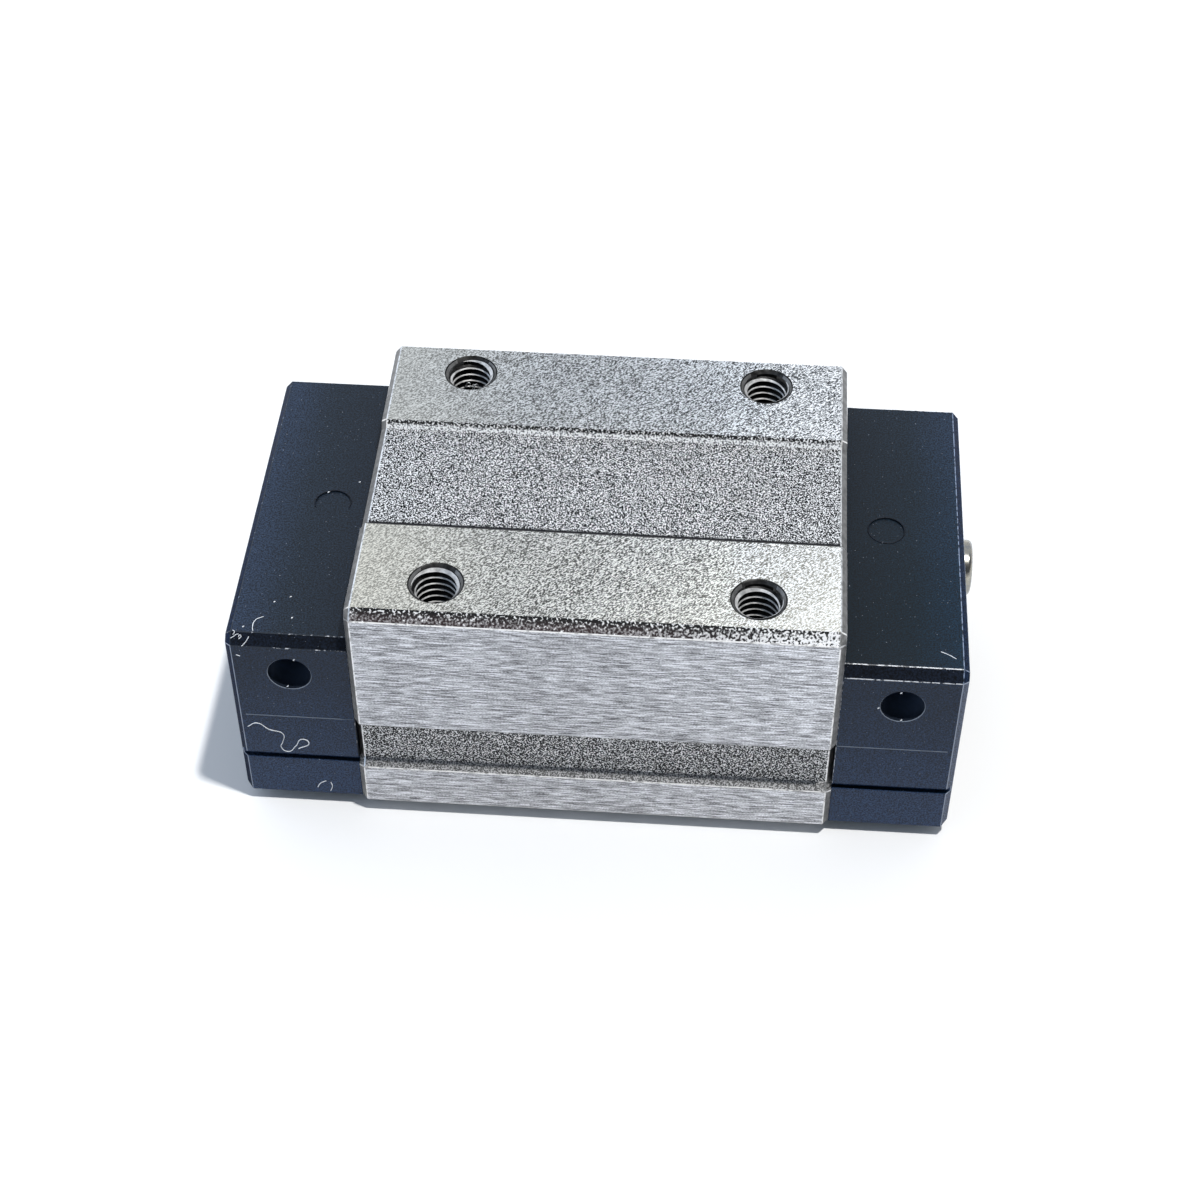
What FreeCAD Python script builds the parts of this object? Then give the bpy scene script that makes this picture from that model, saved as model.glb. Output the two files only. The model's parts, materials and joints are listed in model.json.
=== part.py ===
import FreeCAD, Part
import Sketcher
import math
import os
import re

# Linear guide block of the narrow four-hole kind, for a rail 15 mm wide.
# Frame: +X along the rail, +Y to the rear, +Z up, millimetres and degrees.
# The origin is in the middle of the block, level with the underside of the steel.

# Driving dimensions
SIZES = {
    # steel block, outer shape
    "block_length": 40.2,
    "block_width": 34.0,
    "block_height": 23.7,
    "end_chamfer": 0.5,
    "top_edge_chamfer": 0.85,
    "bottom_edge_chamfer": 0.6,
    "top_recess_width": 12.8,
    "top_recess_depth": 0.7,
    "top_recess_slope": 0.4,
    "side_band_top": 10.34,
    "side_band_bottom": 4.9,
    "side_band_depth": 0.75,
    "side_band_slope": 0.5,
    # tapped holes on top
    "bolt_spacing_x": 26.0,
    "bolt_spacing_y": 26.0,
    "bolt_diameter": 4.0,
    "bolt_floor": 1.9,
    "bolt_sink": 0.25,
    "bolt_sink_angle": 90.0,
    "drill_point": 118.0,
    # rail that the block runs on
    "rail_width": 15.0,
    "rail_neck": 9.8,
    "rail_top": 10.7,
    "rail_foot": 1.3,
    "rail_neck_foot": 2.2,
    "ridge_bevel": 0.17,
    # ball circuits
    "ball_diameter": 3.175,
    "ball_gap": 0.15,
    "turn_ball_gap": 0.1,
    "load_side": 7.4,
    "upper_load_height": 9.0,
    "lower_load_height": 4.1,
    "upper_turn_angle": 45.0,
    "lower_turn_angle": 27.0,
    "turn_radius": 3.3,
    "groove_play": 0.1,
    "groove_wrap": 10.0,
    "groove_rise": 15.0,
    "path_play": 0.14,
    # retainers
    "lip_thickness": 0.5,
    "lip_angle": 15.0,
    "lip_shoulder": 20.0,
    "retainer_plate": 0.5,
    "retainer_relief": 0.11,
    "retainer_shelf": 25.0,
    "ridge_gap": 0.3,
    # return tubes and return guides
    "tube_wall": 0.35,
    "tube_fit": 0.05,
    "guide_radius": 2.5,
    "guide_width": 3.8,
    "guide_fit": 0.05,
    # bottom seals
    "seal_slot_width": 3.7,
    "strip_fit": 0.05,
    "bottom_seal_lift": 0.4,
    "wiper_gap": 0.1,
    "wiper_reach": 1.0,
    "wiper_tip": 0.25,
    # end caps
    "cap_length": 10.15,
    "cap_width": 32.8,
    "cap_roof": 4.09,
    "cap_bottom": 0.4,
    "cap_edge_chamfer": 0.85,
    "cap_end_chamfer": 0.52,
    "cap_gap": 0.3,
    "cap_tongue": 0.5,
    "slit_bottom": 4.84,
    "slit_height": 0.58,
    "slit_depth": 0.4,
    "side_port_diameter": 3.6,
    "side_port_depth": 4.8,
    "side_port_reach": 5.03,
    "port_drop": 3.94,
    "mark_reach": 3.55,
    "mark_diameter": 3.1,
    "mark_depth": 0.1,
    # lubrication groove in the inner face of the caps
    "oil_groove_width": 1.2,
    "oil_groove_depth": 0.8,
    "oil_groove_drop": 2.94,
    # end seals
    "seal_thickness": 1.2,
    "seal_margin": 1.3,
    "seal_corner": 1.0,
    "seal_fit": 0.05,
    "seal_gap": 0.1,
    "seal_tongue": 0.35,
    "rail_groove_play": 0.06,
    # screws of the caps
    "cap_screw_spacing": 14.5,
    "cap_screw_drop": 4.4,
    "cap_screw_diameter": 2.5,
    "cap_screw_head": 4.2,
    "cap_screw_head_angle": 90.0,
    "cap_screw_length": 14.5,
    "cap_screw_fit": 0.1,
    "cap_screw_spare": 1.0,
    "thread_fit": 0.04,
    "cross_span": 2.6,
    "cross_slot": 0.6,
    "cross_depth": 0.8,
    # screws of the lubrication ports
    "port_screw_diameter": 3.2,
    "port_screw_length": 4.0,
    "plug_head_diameter": 4.8,
    "plug_head_height": 0.9,
    "plug_head_round": 0.4,
    "plug_socket": 2.0,
    "plug_socket_depth": 0.9,
    "set_screw_length": 3.5,
    "set_screw_sink": 1.6,
}

# How far a cutting outline reaches past the face that it opens
PAST_FACE = "1"
# Points closer than this count as one place
SAME_PLACE = 1e-4

UP = FreeCAD.Vector(0, 0, 1)
ALONG = FreeCAD.Vector(1, 0, 0)

document = FreeCAD.newDocument("linear_guide_block")
sheet = document.addObject("Spreadsheet::Sheet", "Sizes")
for row, (size_name, size) in enumerate(SIZES.items(), start=1):
    sheet.set(f"A{row}", size_name)
    sheet.set(f"B{row}", str(size))
    sheet.setAlias(f"B{row}", size_name)
document.recompute()


def formula(text):
    """Return the text of an expression with each size name pointed at its cell."""
    return re.sub(r"[a-z_]+", lambda word: f"Sizes.{word[0]}" if word[0] in SIZES else word[0], text)


def value(text):
    """Return the number that an expression gives now."""
    return float(sheet.evalExpression(formula(text)))


def bind(thing, path, text):
    """Tie one property of a document object to an expression of the sizes."""
    thing.setExpression(path, formula(text))


# Places that several pieces share, as expressions of the sizes
HALF_LENGTH = "(block_length / 2)"
HALF_WIDTH = "(block_width / 2)"
CAP_HALF = "(cap_width / 2)"
CAP_END = "(block_length / 2 + cap_length)"
BALL_RADIUS = "(ball_diameter / 2)"
GROOVE_RADIUS = f"({BALL_RADIUS} + groove_play)"
PATH_RADIUS = f"({BALL_RADIUS} + path_play)"
LIP_RADIUS = f"({PATH_RADIUS} + lip_thickness)"
TUBE_RADIUS = f"({PATH_RADIUS} + tube_wall)"
BORE_RADIUS = f"({TUBE_RADIUS} + tube_fit)"
LIP_ROOT = f"(load_side - {GROOVE_RADIUS} * sin(groove_wrap))"
RETAINER_SEAT = f"(load_side + {GROOVE_RADIUS} + retainer_relief)"
PLATE_UNDER = f"(upper_load_height + {LIP_RADIUS} * cos(lip_shoulder))"
CEILING = f"({PLATE_UNDER} + retainer_plate)"
FLANGE_TOP = f"(lower_load_height - {LIP_RADIUS} * cos(lip_shoulder))"
FLANGE_UNDER = f"({FLANGE_TOP} - retainer_plate)"
SLOT_SIDE = f"({LIP_ROOT} + seal_slot_width)"
HEADING = {"upper": "upper_turn_angle", "lower": "lower_turn_angle"}
LOAD_HEIGHT = {"upper": "upper_load_height", "lower": "lower_load_height"}

# How many balls fit along a straight row and around a turn
BALLS_IN_ROW = math.floor(value("block_length / (ball_diameter + ball_gap)"))
BALLS_IN_TURN = math.floor(value("90 / asin((ball_diameter + turn_ball_gap) / (2 * turn_radius))"))

nodes = []


def beyond_load(level, reach):
    """Return the place that lies a reach from a loaded row towards its return row."""
    across = f"(load_side + {reach} * cos({HEADING[level]}))"
    up = f"({LOAD_HEIGHT[level]} + {reach} * sin({HEADING[level]}))"
    return across, up


TURN_MIDDLE = {level: beyond_load(level, "turn_radius") for level in HEADING}
RETURN_ROW = {level: beyond_load(level, "2 * turn_radius") for level in HEADING}
BOLT_DEPTH = f"(block_height - {RETURN_ROW['upper'][1]} - {BORE_RADIUS} - bolt_floor)"
CAP_TOP = f"({RETURN_ROW['upper'][1]} + {PATH_RADIUS} + cap_roof)"
PORT_HEIGHT = f"({CAP_TOP} - port_drop)"
CAP_SCREW_HEIGHT = f"({CAP_TOP} - cap_screw_drop)"
CAP_SCREW_SPOTS = [("cap_screw_spacing / 2", CAP_SCREW_HEIGHT), ("-cap_screw_spacing / 2", CAP_SCREW_HEIGHT)]


def add_body(label):
    """Start a body that becomes the node of that name."""
    body = document.addObject("PartDesign::Body", label)
    body.Label = label
    return body


def origin_plane(body, role):
    """Return one of the body's own origin planes."""
    return next(feature for feature in body.Origin.OriginFeatures if feature.Role == role)


def add_sketch(body, name, role, shift=("0", "0", "0"), turn=None):
    """Add a sketch on an origin plane, shifted in the plane's own axes and turned in it."""
    sketch = body.newObject("Sketcher::SketchObject", name)
    sketch.AttachmentSupport = [(origin_plane(body, role), "")]
    sketch.MapMode = "FlatFace"
    if turn:
        sketch.AttachmentOffset = FreeCAD.Placement(FreeCAD.Vector(), FreeCAD.Rotation(UP, value(turn)))
        bind(sketch, "AttachmentOffset.Rotation.Angle", turn)
    for axis, text in zip("xyz", shift):
        bind(sketch, f"AttachmentOffset.Base.{axis}", text)
    return sketch


def add_constraints(sketch, entries):
    """Add constraints, each with the expression that drives it or with none."""
    numbers = sketch.addConstraint([constraint for constraint, text in entries])
    for number, (constraint, text) in zip(numbers, entries):
        if text:
            bind(sketch, f"Constraints[{number}]", text)


def pin(edge, point, across, up):
    """Return the constraints that hold a point of an edge at two coordinates."""
    entries = []
    for kind, axis, text in (("DistanceX", -2, across), ("DistanceY", -1, up)):
        if text == "0":
            entries.append((Sketcher.Constraint("PointOnObject", edge, point, axis), None))
        else:
            entries.append((Sketcher.Constraint(kind, edge, point, value(text)), text))
    return entries


def draw_outline(sketch, corners):
    """Draw a closed outline.

    A corner is (across, up); with a radius and a centre it also starts an arc to the next corner.
    """
    spots = [FreeCAD.Vector(value(corner[0]), value(corner[1]), 0) for corner in corners]
    edges = []
    entries = []
    for index, corner in enumerate(corners):
        here = spots[index]
        there = spots[(index + 1) % len(spots)]
        if len(corner) == 2:
            edge = sketch.addGeometry(Part.LineSegment(here, there))
            edges.append((edge, 1, 2))
            continue
        radius, centre_across, centre_up = corner[2:]
        centre = FreeCAD.Vector(value(centre_across), value(centre_up), 0)
        leftward = (here - centre).cross(there - centre).z > 0
        first, last = (here, there) if leftward else (there, here)
        angles = [math.atan2((spot - centre).y, (spot - centre).x) for spot in (first, last)]
        circle = Part.Circle(centre, UP, value(radius))
        edge = sketch.addGeometry(Part.ArcOfCircle(circle, angles[0], angles[1]))
        edges.append((edge, 1, 2) if leftward else (edge, 2, 1))
        entries.append((Sketcher.Constraint("Radius", edge, value(radius)), radius))
    for index, (edge, start, end) in enumerate(edges):
        next_edge, next_start, next_end = edges[(index + 1) % len(edges)]
        entries.append((Sketcher.Constraint("Coincident", edge, end, next_edge, next_start), None))
        entries += pin(edge, start, corners[index][0], corners[index][1])
    add_constraints(sketch, entries)


def draw_box(sketch, low_across, low_up, high_across, high_up):
    """Draw a rectangle between two corners."""
    corners = [(low_across, low_up), (high_across, low_up), (high_across, high_up), (low_across, high_up)]
    draw_outline(sketch, corners)


def draw_circles(sketch, spots, radius):
    """Draw equal circles at the given spots."""
    for across, up in spots:
        centre = FreeCAD.Vector(value(across), value(up), 0)
        edge = sketch.addGeometry(Part.Circle(centre, UP, value(radius)))
        entries = [(Sketcher.Constraint("Radius", edge, value(radius)), radius)]
        add_constraints(sketch, entries + pin(edge, 3, across, up))


def negative(text):
    """Return the expression of the opposite number."""
    return "0" if text == "0" else f"-({text})"


def both_sides(half):
    """Return a half outline, listed from its upper end to its lower one, with its mirror image.

    An arc of the mirror image starts at the corner where the drawn one ends.
    """
    mirrored = []
    for index in range(len(half) - 1, -1, -1):
        corner = [negative(half[index][0]), half[index][1]]
        if index and len(half[index - 1]) > 2:
            radius, centre_across, centre_up = half[index - 1][2:]
            corner += [radius, negative(centre_across), centre_up]
        mirrored.append(tuple(corner))
    return half + mirrored


def add_pad(body, name, sketch, length, symmetric=False):
    """Add a pad of a sketch along the sketch's normal, or to both sides of it."""
    pad = body.newObject("PartDesign::Pad", name)
    pad.Profile = sketch
    pad.SideType = "Symmetric" if symmetric else "One side"
    bind(pad, "Length", length)
    document.recompute()
    return pad


def must_cut(body, name, volume_before):
    """Recompute and stop where a cut took nothing away."""
    document.recompute()
    if body.Shape.Volume >= volume_before:
        raise RuntimeError(f"{name} cuts nothing from {body.Label}")


def add_pocket(body, name, sketch, depth=None, forward=False):
    """Cut a sketch to a depth, against its normal or forward along it, or right through."""
    volume_before = body.Shape.Volume
    pocket = body.newObject("PartDesign::Pocket", name)
    pocket.Profile = sketch
    pocket.Reversed = forward
    if depth:
        bind(pocket, "Length", depth)
    else:
        pocket.Type = "ThroughAll"
        pocket.SideType = "Symmetric"
    must_cut(body, name, volume_before)
    return pocket


def add_mirror(body, name, originals, role):
    """Mirror cuts of a body over one of its origin planes."""
    volume_before = body.Shape.Volume
    mirror = body.newObject("PartDesign::Mirrored", name)
    mirror.Originals = originals
    mirror.MirrorPlane = (origin_plane(body, role), [""])
    body.Tip = mirror
    must_cut(body, name, volume_before)
    return mirror


def add_revolution(body, name, sketch, axis, angle=360, backward=False):
    """Revolve a sketch about one of its own axes, with that axis or backward against it."""
    turned = body.newObject("PartDesign::Revolution", name)
    turned.Profile = sketch
    turned.ReferenceAxis = (sketch, [axis])
    turned.Angle = angle
    turned.Reversed = backward
    document.recompute()
    return turned


def add_chamfer(body, name, base, size, wanted):
    """Chamfer the edges of a feature that lie across X and whose two ends pass a test."""
    edges = []
    for number, edge in enumerate(base.Shape.Edges, start=1):
        ends = [vertex.Point for vertex in edge.Vertexes]
        if abs(ends[0].x - ends[-1].x) < SAME_PLACE and all(wanted(end) for end in ends):
            edges.append(f"Edge{number}")
    volume_before = body.Shape.Volume
    chamfer = body.newObject("PartDesign::Chamfer", name)
    chamfer.Base = (base, edges)
    bind(chamfer, "Size", size)
    must_cut(body, name, volume_before)
    return chamfer


def near(number, text):
    """Tell whether a coordinate is at the place that an expression gives."""
    return abs(number - value(text)) < SAME_PLACE


def place_piece(piece, spot, axis, angle):
    """Place a piece, turned about an axis, and tie its place and its angle to expressions."""
    corner = FreeCAD.Vector(*[value(text) for text in spot])
    piece.Placement = FreeCAD.Placement(corner, FreeCAD.Rotation(axis, value(angle)))
    for coordinate, text in zip("xyz", spot):
        bind(piece, f"Placement.Base.{coordinate}", text)
    bind(piece, "Placement.Rotation.Angle", angle)


def turn_around(piece, spot=("0", "0", "0"), turned=True):
    """Place a piece drawn at the right end or the rear, or turn it about Z to the left end or the front."""
    along, across, up = spot
    if turned:
        place_piece(piece, (negative(along), negative(across), up), UP, "180")
    else:
        place_piece(piece, spot, UP, "0")


def rail_outline(gap, tongue, curved):
    """Return half of an opening that passes the rail with a gap, listed from the top down.

    A curved opening bulges into the ball grooves of the rail, a plain one spans them.
    """
    neck = f"(rail_neck / 2 + {gap})"
    ridge = f"(rail_width / 2 + {gap})"
    radius = f"({BALL_RADIUS} + rail_groove_play - {gap})"
    bulge = f"(load_side - {radius})"
    shoulder = f"(load_side - {radius} * sin(groove_wrap))"
    rise = f"{radius} * cos(groove_wrap)"
    ridge_top = f"upper_load_height - {rise} - ridge_bevel"
    ridge_foot = f"lower_load_height + {rise} + ridge_bevel"
    upper = [(bulge, "upper_load_height", radius, "load_side", "upper_load_height"),
             (shoulder, f"upper_load_height - {rise}")]
    lower = [(shoulder, f"lower_load_height + {rise}", radius, "load_side", "lower_load_height"),
             (bulge, "lower_load_height")]
    corners = [(neck, f"rail_top + {gap}"), (neck, f"upper_load_height + {tongue}")]
    corners += upper if curved else []
    corners += [(ridge, ridge_top), (ridge, ridge_foot)]
    corners += lower if curved else []
    corners += [(neck, f"lower_load_height - {tongue}"), (neck, "rail_neck_foot"), (ridge, "rail_foot")]
    return corners + [(ridge, negative(PAST_FACE))]


# Steel block

def make_block():
    """Make the ground steel block with its ball grooves, return bores and tapped holes."""
    body = add_body("carriage_block")
    section = add_sketch(body, "block_section", "YZ_Plane")
    groove_side = f"load_side + {GROOVE_RADIUS} * cos(groove_rise)"
    groove_step = f"{GROOVE_RADIUS} * sin(groove_rise)"
    groove_end = f"{GROOVE_RADIUS} * cos(groove_wrap)"
    half = [
        ("top_recess_width / 2 - top_recess_slope", "block_height - top_recess_depth"),
        ("top_recess_width / 2", "block_height"),
        (f"{HALF_WIDTH} - top_edge_chamfer", "block_height"),
        (HALF_WIDTH, "block_height - top_edge_chamfer"),
        (HALF_WIDTH, "side_band_top"),
        (f"{HALF_WIDTH} - side_band_depth", "side_band_top - side_band_slope"),
        (f"{HALF_WIDTH} - side_band_depth", "side_band_bottom + side_band_slope"),
        (HALF_WIDTH, "side_band_bottom"),
        (HALF_WIDTH, "bottom_edge_chamfer"),
        (f"{HALF_WIDTH} - bottom_edge_chamfer", "0"),
        (SLOT_SIDE, "0"),
        (SLOT_SIDE, FLANGE_TOP),
        (LIP_ROOT, FLANGE_TOP),
        (LIP_ROOT, f"lower_load_height - {groove_end}", GROOVE_RADIUS, "load_side", "lower_load_height"),
        (groove_side, f"lower_load_height + {groove_step}"),
        (RETAINER_SEAT, f"lower_load_height + {groove_step}"),
        (RETAINER_SEAT, f"upper_load_height - {groove_step}"),
        (groove_side, f"upper_load_height - {groove_step}", GROOVE_RADIUS, "load_side", "upper_load_height"),
        (LIP_ROOT, f"upper_load_height + {groove_end}"),
        (LIP_ROOT, CEILING),
    ]
    draw_outline(section, both_sides(half))
    pad = add_pad(body, "block_pad", section, "block_length", symmetric=True)

    def on_end_outline(point):
        outside = abs(point.y) > value(f"{HALF_WIDTH} - side_band_depth") - SAME_PLACE
        on_top = point.z > value("block_height - top_recess_depth") - SAME_PLACE
        return near(abs(point.x), HALF_LENGTH) and (outside or on_top)

    add_chamfer(body, "block_end_chamfer", pad, "end_chamfer", on_end_outline)

    bores = add_sketch(body, "return_bores", "YZ_Plane")
    for level in ("upper", "lower"):
        across, up = RETURN_ROW[level]
        draw_circles(bores, [(across, up), (negative(across), up)], BORE_RADIUS)
    add_pocket(body, "return_bore_cut", bores)

    taps = add_sketch(body, "cap_screw_taps", "YZ_Plane", ("0", "0", HALF_LENGTH))
    draw_circles(taps, CAP_SCREW_SPOTS, "cap_screw_diameter / 2 + thread_fit")
    tap_depth = "cap_screw_length - cap_length + cap_screw_spare"
    tap_cut = add_pocket(body, "cap_screw_tap_cut", taps, tap_depth)
    add_mirror(body, "cap_screw_tap_mirror", [tap_cut], "YZ_Plane")

    top = add_sketch(body, "bolt_circles", "XY_Plane", ("0", "0", "block_height"))
    across, up = "bolt_spacing_x / 2", "bolt_spacing_y / 2"
    corners = [(across, up), (negative(across), up), (negative(across), negative(up)), (across, negative(up))]
    draw_circles(top, corners, "bolt_diameter / 2")
    document.recompute()
    volume_before = body.Shape.Volume
    hole = body.newObject("PartDesign::Hole", "bolt_holes")
    hole.Profile = top
    hole.DepthType = "Dimension"
    hole.DrillPoint = "Angled"
    hole.HoleCutType = "Countersink"
    hole.HoleCutCustomValues = True
    bind(hole, "HoleCutCountersinkAngle", "bolt_sink_angle")
    bind(hole, "Diameter", "bolt_diameter")
    bind(hole, "Depth", BOLT_DEPTH)
    bind(hole, "DrillPointAngle", "drill_point")
    bind(hole, "HoleCutDiameter", "bolt_diameter + 2 * bolt_sink")
    must_cut(body, "bolt_holes", volume_before)
    nodes.append(body)


# End caps and end seals

def make_end_cap(side):
    """Make one moulded end cap: the outer halves of four ball turns and the lubrication ports."""
    body = add_body(f"{side}_end_cap")
    section = add_sketch(body, f"{side}_cap_section", "YZ_Plane", ("0", "0", HALF_LENGTH))
    half = [
        (f"{CAP_HALF} - cap_edge_chamfer", CAP_TOP),
        (CAP_HALF, f"{CAP_TOP} - cap_edge_chamfer"),
        (CAP_HALF, "cap_bottom"),
    ]
    draw_outline(section, both_sides(half))
    pad = add_pad(body, f"{side}_cap_pad", section, "cap_length")
    add_chamfer(body, f"{side}_cap_end_chamfer", pad, "cap_end_chamfer", lambda point: near(point.x, CAP_END))

    channel = add_sketch(body, f"{side}_cap_channel", "YZ_Plane")
    draw_outline(channel, both_sides(rail_outline("cap_gap", "cap_tongue", curved=False)))
    add_pocket(body, f"{side}_cap_channel_cut", channel)

    slits = add_sketch(body, f"{side}_cap_slits", "YZ_Plane")
    slit_in, slit_out = f"{CAP_HALF} - slit_depth", f"{CAP_HALF} + {PAST_FACE}"
    slit_top = "slit_bottom + slit_height"
    draw_box(slits, slit_in, "slit_bottom", slit_out, slit_top)
    draw_box(slits, negative(slit_out), "slit_bottom", negative(slit_in), slit_top)
    add_pocket(body, f"{side}_cap_slit_cut", slits)

    seat = add_sketch(body, f"{side}_seal_seat", "YZ_Plane", ("0", "0", CAP_END))
    draw_outline(seat, both_sides(seal_outline("seal_margin", negative(PAST_FACE))))
    add_pocket(body, f"{side}_seal_seat_cut", seat, "seal_thickness")

    cuts = [cut_turn(body, side, level) for level in ("upper", "lower")]
    cuts.append(cut_side_port(body, side))
    add_mirror(body, f"{side}_cap_mirror", cuts, "XZ_Plane")

    holes = add_sketch(body, f"{side}_cap_holes", "YZ_Plane")
    draw_circles(holes, CAP_SCREW_SPOTS, "cap_screw_diameter / 2 + cap_screw_fit")
    draw_circles(holes, [("0", PORT_HEIGHT)], "port_screw_diameter / 2 + thread_fit")
    add_pocket(body, f"{side}_cap_hole_cut", holes)

    oil = add_sketch(body, f"{side}_oil_groove", "YZ_Plane", ("0", "0", HALF_LENGTH))
    foot = f"{PORT_HEIGHT} - oil_groove_drop - oil_groove_width / 2"
    rim = f"{PORT_HEIGHT} - oil_groove_drop + oil_groove_width / 2"
    reach = TURN_MIDDLE["upper"][0]
    stem = [("oil_groove_width / 2", PORT_HEIGHT), ("oil_groove_width / 2", rim)]
    draw_outline(oil, both_sides(stem + [(reach, rim), (reach, foot)]))
    add_pocket(body, f"{side}_oil_groove_cut", oil, "oil_groove_depth", forward=True)

    mark = add_sketch(body, f"{side}_mould_mark", "XY_Plane", ("0", "0", CAP_TOP))
    draw_circles(mark, [(f"{HALF_LENGTH} + mark_reach", "0")], "mark_diameter / 2")
    add_pocket(body, f"{side}_mould_mark_cut", mark, "mark_depth")

    turn_around(body, turned=side == "left")
    nodes.append(body)


def cut_turn(body, side, level):
    """Cut the half ring that the balls turn in, with the seat of its return guide."""
    across, up = TURN_MIDDLE[level]
    sketch = add_sketch(body, f"{side}_{level}_turn", "YZ_Plane", (across, up, HALF_LENGTH), HEADING[level])
    seat_radius = "(guide_radius + guide_fit)"
    seat_half = "(guide_width / 2 + guide_fit)"
    meet = f"sqrt({PATH_RADIUS} ^ 2 - (turn_radius - {seat_radius}) ^ 2)"
    centre = (PATH_RADIUS, negative("turn_radius"), "0")
    draw_outline(sketch, [
        ("0", negative(seat_half)),
        ("0", seat_half),
        (negative(seat_radius), seat_half),
        (negative(seat_radius), meet) + centre,
        (f"-(turn_radius + {PATH_RADIUS})", "0") + centre,
        (negative(seat_radius), negative(meet)),
        (negative(seat_radius), negative(seat_half)),
    ])
    document.recompute()
    volume_before = body.Shape.Volume
    groove = body.newObject("PartDesign::Groove", f"{side}_{level}_turn_cut")
    groove.Profile = sketch
    groove.ReferenceAxis = (sketch, ["V_Axis"])
    groove.Angle = 180
    must_cut(body, groove.Name, volume_before)
    return groove


def cut_side_port(body, side):
    """Cut the lubrication hole into the rear side of a cap."""
    sketch = add_sketch(body, f"{side}_side_port", "XZ_Plane", ("0", "0", negative(CAP_HALF)))
    draw_circles(sketch, [(f"{HALF_LENGTH} + side_port_reach", PORT_HEIGHT)], "side_port_diameter / 2")
    return add_pocket(body, f"{side}_side_port_cut", sketch, "side_port_depth", forward=True)


def seal_outline(margin, foot):
    """Return half of the end seal's outer outline, set in from the cap's by a margin."""
    side, top = f"({CAP_HALF} - ({margin}))", f"({CAP_TOP} - ({margin}))"
    return [(f"{side} - seal_corner", top), (side, f"{top} - seal_corner"), (side, foot)]


def make_end_seal(side):
    """Make one wiper plate, flush in the end face of its cap, with lips that follow the rail."""
    body = add_body(f"{side}_end_seal")
    section = add_sketch(body, f"{side}_seal_section", "YZ_Plane", ("0", "0", f"{CAP_END} - seal_thickness"))
    draw_outline(section, both_sides(seal_outline("seal_margin + seal_fit", "cap_bottom")))
    add_pad(body, f"{side}_seal_pad", section, "seal_thickness")

    opening = add_sketch(body, f"{side}_seal_opening", "YZ_Plane")
    draw_outline(opening, both_sides(rail_outline("seal_gap", "seal_tongue", curved=True)))
    add_pocket(body, f"{side}_seal_opening_cut", opening)

    port = add_sketch(body, f"{side}_seal_port", "YZ_Plane")
    draw_circles(port, [("0", PORT_HEIGHT)], "port_screw_diameter / 2 + cap_screw_fit")
    add_pocket(body, f"{side}_seal_port_cut", port)

    sinks = add_sketch(body, f"{side}_seal_screws", "YZ_Plane", ("0", "0", CAP_END))
    draw_circles(sinks, CAP_SCREW_SPOTS, "cap_screw_diameter / 2 + cap_screw_fit")
    document.recompute()
    volume_before = body.Shape.Volume
    hole = body.newObject("PartDesign::Hole", f"{side}_seal_countersinks")
    hole.Profile = sinks
    hole.DepthType = "ThroughAll"
    hole.HoleCutType = "Countersink"
    hole.HoleCutCustomValues = True
    bind(hole, "HoleCutCountersinkAngle", "cap_screw_head_angle")
    bind(hole, "Diameter", "cap_screw_diameter + 2 * cap_screw_fit")
    bind(hole, "HoleCutDiameter", "cap_screw_head + 2 * cap_screw_fit")
    must_cut(body, hole.Name, volume_before)

    turn_around(body, turned=side == "left")
    nodes.append(body)


# Strips along the channel

def make_strip(label, corners, front=False):
    """Make a moulded strip of one section that runs from cap to cap."""
    body = add_body(label)
    section = add_sketch(body, f"{label}_section", "YZ_Plane")
    draw_outline(section, corners)
    add_pad(body, f"{label}_pad", section, "block_length", symmetric=True)
    turn_around(body, turned=front)
    nodes.append(body)


def top_retainer_section():
    """Return the section of the plate under the ceiling, with a lip inside each upper row."""
    load = (PATH_RADIUS, "load_side", "upper_load_height")
    rim = (LIP_RADIUS, "load_side", "upper_load_height")
    root_height = f"upper_load_height + sqrt({PATH_RADIUS} ^ 2 - (load_side - {LIP_ROOT}) ^ 2)"
    half = [
        (LIP_ROOT, CEILING),
        (LIP_ROOT, root_height) + load,
        (f"load_side - {PATH_RADIUS} * cos(lip_angle)",
         f"upper_load_height + {PATH_RADIUS} * sin(lip_angle)"),
        (f"load_side - {LIP_RADIUS} * cos(lip_angle)",
         f"upper_load_height + {LIP_RADIUS} * sin(lip_angle)") + rim,
        (f"load_side - {LIP_RADIUS} * sin(lip_shoulder)", PLATE_UNDER),
    ]
    return both_sides(half)


def middle_retainer_section():
    """Return the section of the strip between the upper and the lower row."""
    ridge_side = "(rail_width / 2 + ridge_gap)"
    hollow = f"sqrt({PATH_RADIUS} ^ 2 - ({ridge_side} - load_side) ^ 2)"
    shelf_side = f"load_side + {PATH_RADIUS} * cos(retainer_shelf)"
    shelf_step = f"{PATH_RADIUS} * sin(retainer_shelf)"
    upper = (PATH_RADIUS, "load_side", "upper_load_height")
    lower = (PATH_RADIUS, "load_side", "lower_load_height")
    return [
        (ridge_side, f"upper_load_height - {hollow}") + upper,
        (shelf_side, f"upper_load_height - {shelf_step}"),
        (RETAINER_SEAT, f"upper_load_height - {shelf_step}"),
        (RETAINER_SEAT, f"lower_load_height + {shelf_step}"),
        (shelf_side, f"lower_load_height + {shelf_step}") + lower,
        (ridge_side, f"lower_load_height + {hollow}"),
    ]


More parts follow.
